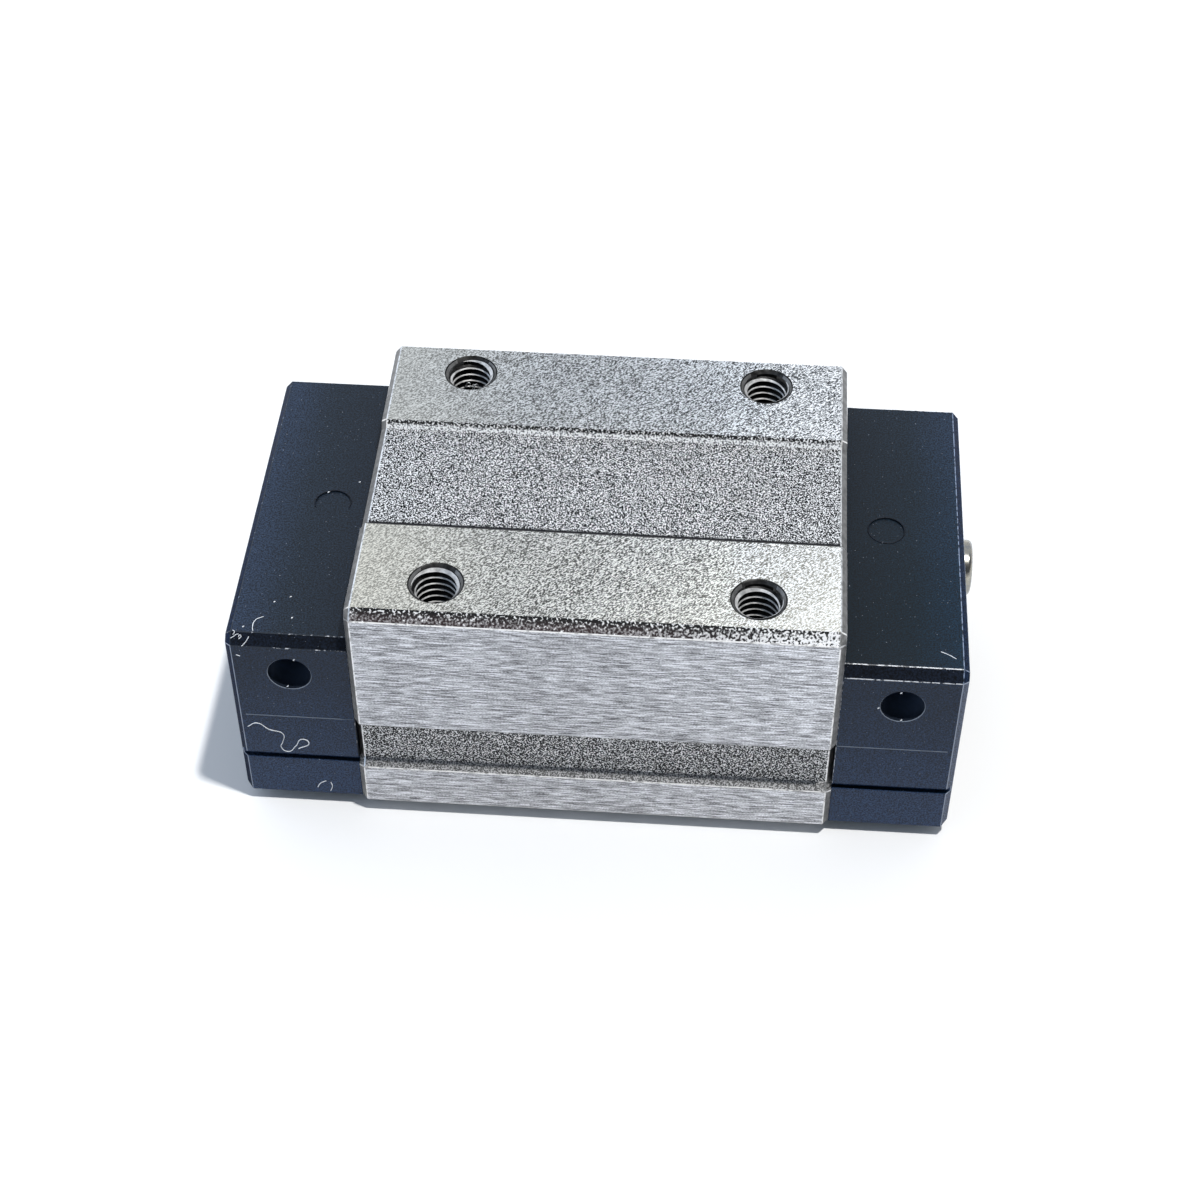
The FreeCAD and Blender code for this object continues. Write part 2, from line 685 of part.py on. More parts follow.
def lower_retainer_section():
    """Return the section of the strip under the lower row: a lip on a flange below the leg."""
    load = (PATH_RADIUS, "load_side", "lower_load_height")
    rim = (LIP_RADIUS, "load_side", "lower_load_height")
    root_height = f"lower_load_height - sqrt({PATH_RADIUS} ^ 2 - (load_side - {LIP_ROOT}) ^ 2)"
    shoulder = f"load_side - {LIP_RADIUS} * sin(lip_shoulder)"
    flange_side = f"{SLOT_SIDE} - strip_fit"
    return [
        (LIP_ROOT, root_height) + load,
        (f"load_side - {PATH_RADIUS} * cos(lip_angle)",
         f"lower_load_height - {PATH_RADIUS} * sin(lip_angle)"),
        (f"load_side - {LIP_RADIUS} * cos(lip_angle)",
         f"lower_load_height - {LIP_RADIUS} * sin(lip_angle)") + rim,
        (shoulder, FLANGE_TOP),
        (shoulder, FLANGE_UNDER),
        (flange_side, FLANGE_UNDER),
        (flange_side, FLANGE_TOP),
        (LIP_ROOT, FLANGE_TOP),
    ]


def bottom_seal_section():
    """Return the section of the strip that closes the gap between leg and rail from below."""
    tip_side = "rail_width / 2 + wiper_gap"
    return [
        (f"{tip_side} + wiper_reach", FLANGE_UNDER),
        (tip_side, f"{FLANGE_UNDER} - wiper_tip"),
        (tip_side, f"{FLANGE_UNDER} - 2 * wiper_tip"),
        (f"{tip_side} + wiper_reach", "bottom_seal_lift"),
        (f"{SLOT_SIDE} - strip_fit", "bottom_seal_lift"),
        (f"{SLOT_SIDE} - strip_fit", FLANGE_UNDER),
    ]


# Return tubes and return guides

def make_return_tube(place, level):
    """Make the tube that lines one return bore."""
    across, up = RETURN_ROW[level]
    cylinders = []
    for layer, radius, length in (("outside", TUBE_RADIUS, "block_length"),
                                  ("inside", PATH_RADIUS, f"block_length + 2 * {PAST_FACE}")):
        cylinder = document.addObject("Part::Cylinder", f"{place}_{level}_tube_{layer}")
        cylinder.Placement.Rotation = FreeCAD.Rotation(FreeCAD.Vector(0, 1, 0), 90)
        bind(cylinder, "Radius", radius)
        bind(cylinder, "Height", length)
        bind(cylinder, "Placement.Base.x", f"-({length}) / 2")
        bind(cylinder, "Placement.Base.y", negative(across) if place == "front" else across)
        bind(cylinder, "Placement.Base.z", up)
        cylinders.append(cylinder)
    tube = document.addObject("Part::Cut", f"{place}_{level}_return_tube")
    tube.Label = f"{place}_{level}_return_tube"
    tube.Base, tube.Tool = cylinders
    nodes.append(tube)


def place_in_turn(piece, place, level, side):
    """Place what is drawn about a turn's middle, with +Y from its loaded row to its return row."""
    across, up = TURN_MIDDLE[level]
    end = HALF_LENGTH if side == "right" else negative(HALF_LENGTH)
    if place == "rear":
        place_piece(piece, (end, across, up), ALONG, HEADING[level])
    else:
        place_piece(piece, (end, negative(across), up), ALONG, f"180 - {HEADING[level]}")


def make_return_guide(place, level, side):
    """Make the half pulley that the balls of one turn run around."""
    label = f"{place}_{level}_{side}_return_guide"
    body = add_body(label)
    sketch = add_sketch(body, f"{label}_section", "YZ_Plane")
    half_width = "guide_width / 2"
    meet = f"sqrt({PATH_RADIUS} ^ 2 - (turn_radius - guide_radius) ^ 2)"
    draw_outline(sketch, [
        ("0", negative(half_width)),
        ("0", half_width),
        ("-guide_radius", half_width),
        ("-guide_radius", meet, PATH_RADIUS, "-turn_radius", "0"),
        ("-guide_radius", negative(meet)),
        ("-guide_radius", negative(half_width)),
    ])
    add_revolution(body, f"{label}_turned", sketch, "V_Axis", angle=180, backward=side == "left")
    place_in_turn(body, place, level, side)
    nodes.append(body)


# Screws

def cut_cross(body, label, depth):
    """Cut a cross recess into the face of a screw head at the body's origin."""
    sketch = add_sketch(body, f"{label}_cross", "YZ_Plane")
    long, short = "cross_span / 2", "cross_slot / 2"
    half = [(short, long), (short, short), (long, short), (long, negative(short)),
            (short, negative(short)), (short, negative(long))]
    draw_outline(sketch, both_sides(half))
    add_pocket(body, f"{label}_cross_cut", sketch, depth)


def cut_hexagon(body, label, face, width, depth):
    """Cut a hexagon socket into a screw's face."""
    sketch = add_sketch(body, f"{label}_socket", "YZ_Plane", ("0", "0", face))
    corners = []
    for corner in range(6):
        angle = 30 + 60 * corner
        reach = f"{width} / 2 / cos(30)"
        corners.append((f"{reach} * cos({angle})", f"{reach} * sin({angle})"))
    draw_outline(sketch, corners)
    add_pocket(body, f"{label}_socket_cut", sketch, depth)


def make_cap_screws(side):
    """Make the two countersunk screws of one end, as one group."""
    screws = []
    for number, (across, up) in enumerate(CAP_SCREW_SPOTS, start=1):
        label = f"{side}_cap_screw_{number}"
        body = add_body(label)
        sketch = add_sketch(body, f"{label}_profile", "XY_Plane")
        cone = "(cap_screw_head - cap_screw_diameter) / 2 / tan(cap_screw_head_angle / 2)"
        draw_outline(sketch, [
            ("0", "0"),
            ("0", "cap_screw_head / 2"),
            (negative(cone), "cap_screw_diameter / 2"),
            ("-cap_screw_length", "cap_screw_diameter / 2"),
            ("-cap_screw_length", "0"),
        ])
        add_revolution(body, f"{label}_turned", sketch, "H_Axis")
        cut_cross(body, label, "cross_depth")
        turn_around(body, (CAP_END, across, up), turned=side == "left")
        screws.append(body)
    group = document.addObject("Part::Compound", f"{side}_cap_screws")
    group.Label = f"{side}_cap_screws"
    group.Links = screws
    nodes.append(group)


def make_grease_plug():
    """Make the plug screw whose low round head stands on the right end."""
    body = add_body("grease_plug_screw")
    sketch = add_sketch(body, "plug_profile", "XY_Plane")
    rim = "plug_head_diameter / 2"
    flat = f"{rim} - plug_head_round"
    edge = "plug_head_height - plug_head_round"
    draw_outline(sketch, [
        ("-port_screw_length", "0"),
        ("plug_head_height", "0"),
        ("plug_head_height", flat, "plug_head_round", edge, flat),
        (edge, rim),
        ("0", rim),
        ("0", "port_screw_diameter / 2"),
        ("-port_screw_length", "port_screw_diameter / 2"),
    ])
    add_revolution(body, "plug_turned", sketch, "H_Axis")
    cut_hexagon(body, "plug", "plug_head_height", "plug_socket", "plug_socket_depth")
    turn_around(body, (CAP_END, "0", PORT_HEIGHT), turned=False)
    nodes.append(body)


def make_port_set_screw():
    """Make the headless screw that closes the left port below its face."""
    body = add_body("port_set_screw")
    sketch = add_sketch(body, "set_screw_profile", "XY_Plane")
    draw_box(sketch, "-set_screw_length", "0", "0", "port_screw_diameter / 2")
    add_revolution(body, "set_screw_turned", sketch, "H_Axis")
    cut_hexagon(body, "set_screw", "0", "plug_socket", "plug_socket_depth")
    turn_around(body, (f"{CAP_END} - set_screw_sink", "0", PORT_HEIGHT))
    nodes.append(body)


# Balls

def make_balls(label, spots):
    """Make one group of balls, each at a spot (along, across) of the group's own frame."""
    balls = []
    for number, (along, across) in enumerate(spots, start=1):
        ball = document.addObject("Part::Sphere", f"{label}_{number}")
        bind(ball, "Radius", BALL_RADIUS)
        bind(ball, "Placement.Base.x", along)
        bind(ball, "Placement.Base.y", across)
        balls.append(ball)
    group = document.addObject("Part::Compound", label)
    group.Label = label
    group.Links = balls
    nodes.append(group)
    return group


def row_spots():
    """Return the spots of a straight row, half a pitch in from each end of the block."""
    pitch = f"block_length / {BALLS_IN_ROW}"
    return [(f"({number} + 0.5) * {pitch} - {HALF_LENGTH}", "0") for number in range(BALLS_IN_ROW)]


def turn_spots(side):
    """Return the spots of a turn, half an angular pitch in from each of its ends."""
    sign = 1 if side == "right" else -1
    step = f"180 / {BALLS_IN_TURN}"
    spots = []
    for number in range(BALLS_IN_TURN):
        angle = f"({number} + 0.5) * {step}"
        spots.append((f"{sign} * turn_radius * sin({angle})", f"-turn_radius * cos({angle})"))
    return spots


def make_circuit(place, level):
    """Make the balls, return tube and return guides of one ball circuit."""
    circuit = f"{place}_{level}"
    loaded = make_balls(f"{circuit}_loaded_balls", row_spots())
    turn_around(loaded, ("0", "load_side", LOAD_HEIGHT[level]), turned=place == "front")
    returning = make_balls(f"{circuit}_return_balls", row_spots())
    turn_around(returning, ("0", *RETURN_ROW[level]), turned=place == "front")
    make_return_tube(place, level)
    for side in ("left", "right"):
        turning = make_balls(f"{circuit}_{side}_turn_balls", turn_spots(side))
        place_in_turn(turning, place, level, side)
        make_return_guide(place, level, side)


# The whole block

make_block()
for end in ("left", "right"):
    make_end_cap(end)
    make_end_seal(end)
    make_cap_screws(end)
make_grease_plug()
make_port_set_screw()
make_strip("top_retainer", top_retainer_section())
for place_name in ("front", "rear"):
    in_front = place_name == "front"
    make_strip(f"{place_name}_middle_retainer", middle_retainer_section(), in_front)
    make_strip(f"{place_name}_lower_retainer", lower_retainer_section(), in_front)
    make_strip(f"{place_name}_bottom_seal", bottom_seal_section(), in_front)
    for level_name in ("upper", "lower"):
        make_circuit(place_name, level_name)
document.recompute()

for item in document.Objects:
    if "Invalid" in item.State or "Error" in item.State:
        raise RuntimeError(f"{item.Label} failed: {item.State}")
os.makedirs("parts", exist_ok=True)
for node in nodes:
    if node.Shape.isNull() or not node.Shape.Solids or not node.Shape.isValid():
        raise RuntimeError(f"{node.Label} has no valid shape")
for node in nodes:
    node.Shape.exportStep(f"parts/{node.Label}.step")
    box = node.Shape.BoundBox
    print(f"{node.Label}: {len(node.Shape.Solids)} solids, {node.Shape.Volume:.2f} mm3, "
          f"x {box.XMin:.2f} to {box.XMax:.2f}, y {box.YMin:.2f} to {box.YMax:.2f}, "
          f"z {box.ZMin:.2f} to {box.ZMax:.2f}")
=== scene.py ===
import json
import math

import bmesh
import bpy
from mathutils import Matrix, Vector


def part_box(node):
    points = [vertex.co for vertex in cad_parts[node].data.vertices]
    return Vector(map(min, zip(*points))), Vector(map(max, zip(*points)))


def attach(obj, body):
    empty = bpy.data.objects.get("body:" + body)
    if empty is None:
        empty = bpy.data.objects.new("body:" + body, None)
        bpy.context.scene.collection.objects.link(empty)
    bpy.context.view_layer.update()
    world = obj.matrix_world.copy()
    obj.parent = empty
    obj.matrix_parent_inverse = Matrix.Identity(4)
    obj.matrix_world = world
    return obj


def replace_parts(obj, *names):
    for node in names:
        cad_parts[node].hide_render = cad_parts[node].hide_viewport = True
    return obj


# Linear guide block: ground and blasted steel between two dark moulded end caps, on a white table.
# Frame: +X along the rail, +Y to the rear, +Z up, metres. Sizes below are in millimetres times MM.

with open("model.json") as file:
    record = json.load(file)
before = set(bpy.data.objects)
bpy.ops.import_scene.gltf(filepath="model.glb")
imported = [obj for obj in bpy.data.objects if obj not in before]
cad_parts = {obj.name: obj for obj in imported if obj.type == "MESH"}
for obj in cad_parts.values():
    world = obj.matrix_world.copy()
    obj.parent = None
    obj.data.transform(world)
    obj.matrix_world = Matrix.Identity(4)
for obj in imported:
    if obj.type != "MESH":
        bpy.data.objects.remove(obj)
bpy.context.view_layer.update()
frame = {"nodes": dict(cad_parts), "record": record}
NODES = frame["nodes"]
MOUNTS = {mount["name"]: mount for mount in frame["record"]["mounts"]}
MM = 0.001

# Outer places of the steel block and the right cap
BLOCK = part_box("carriage_block")[1]
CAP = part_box("right_end_cap")[1]
CAP_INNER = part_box("right_end_cap")[0].x
RECESS_DEPTH = 0.7 * MM
RECESS_HALF = 6.4 * MM
BAND_DEPTH = 0.75 * MM
BAND_TOP = 10.34 * MM
BAND_BOTTOM = 4.9 * MM
TOP_CHAMFER = 0.85 * MM
CAP_CHAMFER = 0.85 * MM
CAP_END_CHAMFER = 0.52 * MM

# Widths that edges are broken to
RECESS_EDGE_WIDTH = 0.16 * MM
BLOCK_EDGE_WIDTH = 0.07 * MM
CAP_EDGE_WIDTH = 0.05 * MM

# Tapped holes
BOLTS = MOUNTS["top_bolts"]["dims"]
BOLT_SPOTS = [(side_x * BOLTS["spacing_x_mm"] / 2 * MM, side_y * BOLTS["spacing_y_mm"] / 2 * MM)
              for side_x in (-1, 1) for side_y in (-1, 1)]
BOLT_RADIUS = BOLTS["hole_r_mm"] * MM
BOLT_RIM = BOLT_RADIUS + 0.3 * MM
THREAD_PITCH = 0.7 * MM
THREAD_HEIGHT = 0.36 * MM
THREAD_FOOT = 0.46 * THREAD_PITCH
THREAD_TIP = 0.07 * THREAD_PITCH
THREAD_SUNK = 0.03 * MM
THREAD_TOP = 0.3 * MM
THREAD_BOTTOM = 4.8 * MM
THREAD_GLINT = 0.09 * MM
THREAD_FIRST_GLINT = 0.25 * MM
THREAD_STEPS = 64
# Turns over which a thread runs out at its ends and its first glint fades
RUNOUT_BOTTOM = 0.5
RUNOUT_TOP = 0.25
GLINT_FADE = 1 / 3
# How deep the ridge of each thread is at the rear of its hole, in the order of BOLT_SPOTS
THREAD_PHASES = [0.5 * MM, 0.36 * MM, 0.16 * MM, 0.2 * MM]

# Small shapes on the caps
PORT = Vector(MOUNTS["front_right_lube_port"]["pos_m"])
PORT_RADIUS = 1.8 * MM
MARK_SPOT = CAP_INNER + 3.55 * MM
MARK_RADIUS = 1.55 * MM
# Width of the painted shade line around each mould mark
MARK_SHADE_WIDTH = 0.055 * MM
RIM_WIDTH = 0.15 * MM
WELD_HEIGHT = 10.25 * MM
WELD_WIDTH = 0.16 * MM
WELD_RISE = 0.05 * MM
WELD_INSET = 0.1 * MM
LINT_RADIUS = 0.035 * MM
SPECK_RADIUS = 0.05 * MM

# Where finishes change, from a start to an end: along the block, below its top, and behind an edge
# Painted light along the top chamfers, over these spans towards the right end
CHAMFER_LIGHT = (3 * MM, 19 * MM)
BORDER_LIGHT = (10 * MM, 19 * MM)
CHAMFER_BORDER = (0.6 * MM, 0.1 * MM)
# Painted shade under the top of the recess walls
WALL_SHADE = (0.42 * MM, 0.24 * MM)
# Painted shade on the recess floor, behind the edge of its front wall
WALL_FOOT_SHADE = (0.78 * MM, 1.0 * MM)
# Depth over which the painted shade in the lubrication ports lightens
PORT_FADE = 2.5 * MM

# Distances within which points are one, lie on a line, and lie close to it
SAME = 0.001 * MM
NEAR = 0.02 * MM
CLOSE = 0.1 * MM

# Angles between faces: from FLAT they are two faces, from SHARP their edge is sharp
FLAT = math.radians(0.4)
SHARP = math.radians(18)

# Share of a face's normal along an axis, from leaning that way to facing it
LEANING = 0.3
HALFWAY = 0.5
MOSTLY = 0.7
FACING = 0.9

# Turn of a noise whose layers shouldn't line up with the flat faces, and of the grinding marks
TILT = (math.radians(35), math.radians(25), 0)
GRINDING = (0, 0, math.radians(40))


class Nodes:
    """A node tree with patterns laid out by a texture coordinate, and short ways to add to it."""

    def __init__(self, tree, coordinate):
        self.tree = tree
        self.place = self.node("ShaderNodeTexCoord").outputs[coordinate]

    def node(self, kind, feeds=None, **settings):
        """Add a node with these settings; feeds gives its inputs a socket or a value."""
        made = self.tree.nodes.new(kind)
        for name, setting in settings.items():
            setattr(made, name, setting)
        for key, source in (feeds or {}).items():
            if isinstance(source, bpy.types.NodeSocket):
                self.tree.links.new(source, made.inputs[key])
            else:
                made.inputs[key].default_value = source
        return made

    def math(self, operation, *terms):
        """Return the result of an operation on values."""
        return self.node("ShaderNodeMath", dict(enumerate(terms)), operation=operation).outputs[0]

    def sum(self, first, second, weight):
        """Return the first value plus a weight times the second one."""
        return self.math("MULTIPLY_ADD", second, weight, first)

    def span(self, source, start, end):
        """Return 0 where a value is at a start and 1 where it is at an end."""
        feeds = {"Value": source, "From Min": start, "From Max": end}
        return self.node("ShaderNodeMapRange", feeds).outputs["Result"]

    def along(self, axis, start, end, mirrored=False):
        """Return 0 before a start and 1 after an end along an axis, or to both sides of its middle."""
        split = self.node("ShaderNodeSeparateXYZ", {"Vector": self.place}).outputs[axis]
        return self.span(self.math("ABSOLUTE", split) if mirrored else split, start, end)

    def ramp(self, source, stops):
        """Return the colours of a ramp over a value; a stop is (position, colour)."""
        made = self.node("ShaderNodeValToRGB", {"Fac": source})
        elements = made.color_ramp.elements
        elements[0].position, elements[0].color = stops[0][0], (*stops[0][1], 1)
        elements[1].position, elements[1].color = stops[-1][0], (*stops[-1][1], 1)
        for position, colour in stops[1:-1]:
            elements.new(position).color = (*colour, 1)
        return made.outputs["Color"]

    def mix(self, share, first, second, blend="MIX"):
        """Return one colour that turns into another, or is blended with it, as a share goes from 0 to 1."""
        feeds = {0: share, 6: first, 7: second}
        return self.node("ShaderNodeMix", feeds, data_type="RGBA", blend_type=blend).outputs[2]

    def times(self, first, second):
        """Return one colour multiplied by another."""
        return self.mix(1.0, first, second, "MULTIPLY")

    def seen(self):
        """Return 1 for a ray that shows what it meets, directly, mirrored or through glass, and else 0."""
        path = self.node("ShaderNodeLightPath").outputs
        mirrored = self.math("MAXIMUM", path["Is Camera Ray"], path["Is Glossy Ray"])
        return self.math("MAXIMUM", mirrored, path["Is Transmission Ray"])


class Finish(Nodes):
    """A procedural material whose textures are laid out in the part's own frame."""

    def __init__(self, name, metallic=0.0, roughness=0.5, specular=0.5):
        self.material = bpy.data.materials.new(name)
        self.material.use_nodes = True
        super().__init__(self.material.node_tree, "Object")
        self.shader = self.tree.nodes["Principled BSDF"]
        self.shader.inputs["Metallic"].default_value = metallic
        self.shader.inputs["Roughness"].default_value = roughness
        self.shader.inputs["Specular IOR Level"].default_value = specular

    def grain(self, size, detail=2.0, stretch=(1, 1, 1), turn=(0, 0, 0), shift=0.0):
        """Return noise from 0 to 1 with grains of a size, longer along the stretched axes."""
        scale = [size * longer for longer in stretch]
        layout = {"Vector": self.place, "Scale": scale, "Rotation": turn, "Location": (shift, shift, shift)}
        mapped = self.node("ShaderNodeMapping", layout, vector_type="TEXTURE").outputs["Vector"]
        noise = self.node("ShaderNodeTexNoise", {"Vector": mapped, "Scale": 1.0, "Detail": detail})
        return noise.outputs["Fac"]

    def speckle(self, noise, black, dark, middle, light):
        """Return dark and light grains over a noise; black is the noise up to which they are dark."""
        stops = [(black, tone(dark)), (black + 0.04, tone(middle, COOL)), (black + 0.07, tone(light))]
        return self.ramp(noise, stops)

    def set(self, name, source):
        """Let a value or colour set an input of the surface."""
        self.tree.links.new(source, self.shader.inputs[name])

    def paint(self, colour):
        """Give the surface a colour."""
        self.set("Base Color", colour)

    def roughen(self, source, low, high):
        """Let the roughness go from low to high with a value."""
        spread = self.node("ShaderNodeMapRange", {"Value": source, "To Min": low, "To Max": high})
        self.set("Roughness", spread.outputs["Result"])

    def bump(self, height, depth):
        """Raise the surface by a depth where a value is high."""
        made = self.node("ShaderNodeBump", {"Height": height, "Distance": depth, "Strength": 1.0})
        self.set("Normal", made.outputs["Normal"])


def tone(level, tint=(1.0, 1.0, 1.0)):
    """Return a grey of a level with a tint."""
    return tuple(level * part for part in tint)


COOL = (0.97, 1.0, 1.04)
WARM = (1.05, 1.0, 0.86)
PALE = (1.01, 1.0, 0.95)
LAVENDER = (0.96, 0.975, 1.03)
BROWN = (1.6, 0.9, 0.95)
BLUE = (0.94, 1.0, 1.08)
REAR_SHADE = (0.87, 0.9, 0.97)
# Colour of the painted shade at the foot of the recess wall
WALL_FOOT_SHADE_COLOUR = (0.02, 0.02, 0.022, 1)


def to_right_front(finish):
    """Return a share that grows towards the right front corner of the part."""
    right = finish.along("X", -CAP.x, CAP.x)
    corner = finish.math("MULTIPLY", right, finish.along("Y", CAP.y, -CAP.y))
    return finish.sum(corner, right, 0.3)


def to_end(finish):
    """Return a share that grows from the steel block to the outer end of a cap."""
    return finish.along("X", CAP_INNER, CAP.x, mirrored=True)


def to_top(finish):
    """Return a share that grows from the foot of a cap to its top."""
    return finish.along("Z", 0, CAP.z)


def make_ground_steel():
    """Top strips: ground, with flecks that grow stronger to the right, and painted light that makes them
    brighter to the right.
    """
    finish = Finish("ground_steel", metallic=1.0, roughness=0.4)
    flecks = finish.grain(0.0758 * MM, detail=0.5, stretch=(2.4, 1, 1), turn=GRINDING)
    scratches = finish.grain(0.08 * MM, detail=1.0, stretch=(30, 1, 1), turn=GRINDING, shift=2.0)
    grains = finish.sum(flecks, scratches, 0.25)
    calm = finish.ramp(grains, [(0.46, tone(0.36, WARM)), (0.79, tone(0.8, WARM))])
    stops = [(0.54, 0.06), (0.62, 0.36), (0.69, 1.0)]
    lively = finish.ramp(grains, [(position, tone(grey, PALE)) for position, grey in stops])
    place = finish.along("X", -BLOCK.x, BLOCK.x)
    corner = to_right_front(finish)
    share = finish.ramp(place, [(0.0, tone(0.1)), (0.3, tone(0.8)), (0.7, tone(1.0))])
    calmed = finish.ramp(corner, [(0.6, tone(1.0)), (1.0, tone(0.3))])
    flecked = finish.mix(finish.times(share, calmed), calm, lively)
    # Painted light, brightest at the right end and towards the right front corner, and painted shade on the
    # rear strip
    level = finish.ramp(place, [(0.0, tone(0.9)), (0.35, tone(0.77)), (0.7, tone(0.9)), (1.0, tone(1.4))])
    lit = finish.times(level, finish.ramp(corner, [(0.6, tone(1.0)), (1.0, tone(1.25))]))
    to_rear = finish.ramp(finish.along("Y", -BLOCK.y, BLOCK.y), [(0.2, tone(1.0)), (0.8, REAR_SHADE)])
    finish.paint(finish.times(flecked, finish.times(lit, to_rear)))
    finish.roughen(flecks, 0.3, 0.5)
    finish.bump(grains, 0.02 * MM)
    return finish.material


def make_recess_floor():
    """Floor of the recess: blasted, with a line of painted shade along the front wall."""
    finish = Finish("blasted_steel", metallic=1.0, roughness=0.5)
    noise = finish.grain(0.115 * MM, detail=1.0, turn=TILT)
    blasted = finish.speckle(noise, 0.48, 0.005, 0.2, 0.86)
    open_floor = finish.along("Y", WALL_FOOT_SHADE[0] - RECESS_HALF, WALL_FOOT_SHADE[1] - RECESS_HALF)
    finish.paint(finish.mix(open_floor, WALL_FOOT_SHADE_COLOUR, blasted))
    finish.bump(noise, 0.03 * MM)
    return finish.material


def make_recess_wall():
    """Walls of the recess: blasted, with painted shade along the top edge and painted light below it."""
    finish = Finish("blasted_slope", metallic=0.2, roughness=0.5)
    noise = finish.grain(0.15 * MM, detail=1.0, turn=TILT)
    ragged = finish.speckle(noise, 0.53, 0.003, 0.25, 0.9)
    light = finish.ramp(noise, [(0.4, tone(0.12)), (0.46, tone(0.7, COOL)), (0.5, tone(1.0))])
    upper = finish.along("Z", BLOCK.z - WALL_SHADE[0], BLOCK.z - WALL_SHADE[1])
    finish.paint(finish.mix(upper, light, ragged))
    finish.bump(noise, 0.06 * MM)
    return finish.material


def make_side_band(name, grain, depth, black, dark, middle, light):
    """Bands along the sides: blasted and dull, with dark and light grains."""
    finish = Finish(name, metallic=0.3, roughness=0.5)
    noise = finish.grain(grain, detail=1.0, turn=TILT)
    finish.paint(finish.speckle(noise, black, dark, middle, light))
    finish.bump(noise, depth)
    return finish.material


def make_dark_chamfer_steel():
    """Long top chamfers: dark brownish speckle on the left, a painted reflection of the dark front, that
    turns to lighter speckle towards the right as painted light.
    """
    finish = Finish("dark_chamfer_steel", metallic=0.3, roughness=0.45)
    noise = finish.grain(0.2 * MM, detail=1.5)
    broad = finish.grain(1.6 * MM, detail=2.0)
    # Painted light: the speckle turns lighter towards the right end
    lit_share = finish.sum(finish.along("X", *CHAMFER_LIGHT), broad, 0.4)
    polished = finish.sum(noise, finish.along("X", *BORDER_LIGHT), 0.07)
    dark = finish.ramp(noise, [(0.57, tone(0.022, BROWN)), (0.64, tone(0.05, BROWN)), (0.7, tone(0.9))])
    light_speckle = finish.ramp(polished, [(0.44, tone(0.01)), (0.49, tone(0.38)), (0.53, tone(0.95))])
    border = finish.ramp(polished, [(0.57, tone(0.002)), (0.61, tone(0.85))])
    near_top = finish.along("Z", BLOCK.z - CHAMFER_BORDER[0], BLOCK.z - CHAMFER_BORDER[1])
    finish.paint(finish.mix(near_top, finish.mix(lit_share, dark, light_speckle), border))
    finish.bump(noise, 0.05 * MM)
    return finish.material


def make_brushed_steel():
    """Front and rear faces: brushed along the block, with painted light that is brightest at the right end.
    """
    finish = Finish("brushed_steel", metallic=1.0, roughness=0.4)
    lines = finish.grain(0.065 * MM, detail=0.0, stretch=(18, 1, 1))
    dashes = finish.grain(0.065 * MM, detail=0.0, stretch=(2.5, 1, 1), shift=1.0)
    blend = finish.sum(lines, dashes, 0.6)
    stops = [(0.52, 0.12), (0.74, 0.35), (0.86, 0.4), (1.0, 0.7)]
    brushed = finish.ramp(blend, [(position, tone(grey, LAVENDER)) for position, grey in stops])
    place = finish.along("X", -BLOCK.x, BLOCK.x)
    # Painted light, brightest at the right end
    level = finish.ramp(place, [(0.0, tone(1.06)), (0.55, tone(1.0)), (1.0, tone(1.2))])
    finish.paint(finish.times(brushed, level))
    finish.bump(blend, 0.006 * MM)
    return finish.material


def make_machined_steel():
    """Ends, channel and bores: milled and slightly dull."""
    finish = Finish("machined_steel", metallic=1.0, roughness=0.4)
    lines = finish.grain(0.08 * MM, detail=2.0, stretch=(1, 14, 1))
    broad = finish.grain(3.0 * MM)
    finish.paint(finish.ramp(finish.sum(lines, broad, 0.5), [(0.5, tone(0.38)), (1.0, tone(0.6, COOL))]))
    finish.bump(lines, 0.006 * MM)
    return finish.material


def make_bright_edge():
    """Broken edges of the steel: bright, with small gaps."""
    finish = Finish("bright_edge", metallic=1.0, roughness=0.3)
    gaps = finish.grain(0.35 * MM, detail=3.0)
    finish.paint(finish.ramp(gaps, [(0.34, tone(0.35)), (0.5, tone(0.75))]))
    return finish.material


def make_metal(name, low, high, roughness=0.45, grain=0.5 * MM, tint=(1.0, 1.0, 1.0), metallic=1.0):
    """Cut, turned or polished metal between two greys, the lighter one with a tint."""
    finish = Finish(name, metallic=metallic, roughness=roughness)
    stain = finish.grain(grain, detail=3.0)
    finish.paint(finish.ramp(stain, [(0.35, tone(low)), (0.65, tone(high, tint))]))
    return finish.material


# CAP_COLOUR is the caps' plastic. The colours after it, up to the corner dim, are painted light and shade of
# that plastic: darker next to the steel block, lighter at the outer ends, lighter towards the foot of the
# sides, darker on the chamfers, lighter on the right cap's upright end chamfers, and dimmed towards the right
# front corner.
CAP_COLOUR = (0.0078, 0.0145, 0.025)
CAP_INNER_COLOUR = (0.005, 0.0094, 0.017)
CAP_OUTER_COLOUR = (0.015, 0.026, 0.05)
CAP_SIDE_COLOUR = (0.0068, 0.0165, 0.037)
CAP_FOOT_COLOUR = (0.02, 0.04, 0.088)
CAP_SLOPE_COLOUR = (0.003, 0.005, 0.01)
CAP_RIM_COLOUR = (0.005, 0.011, 0.028)
CAP_POST_COLOUR = (0.05, 0.07, 0.12)
CAP_CORNER_DIM = (0.15, 0.5, 0.55)
DUST_COLOUR = (0.2, 0.22, 0.26, 1)
# Painted shade in the lubrication ports: dark at the mouth, lighter deeper in
PORT_MOUTH_COLOUR = (0.008, 0.012, 0.02)
PORT_DEEP_COLOUR = (0.08, 0.11, 0.17)


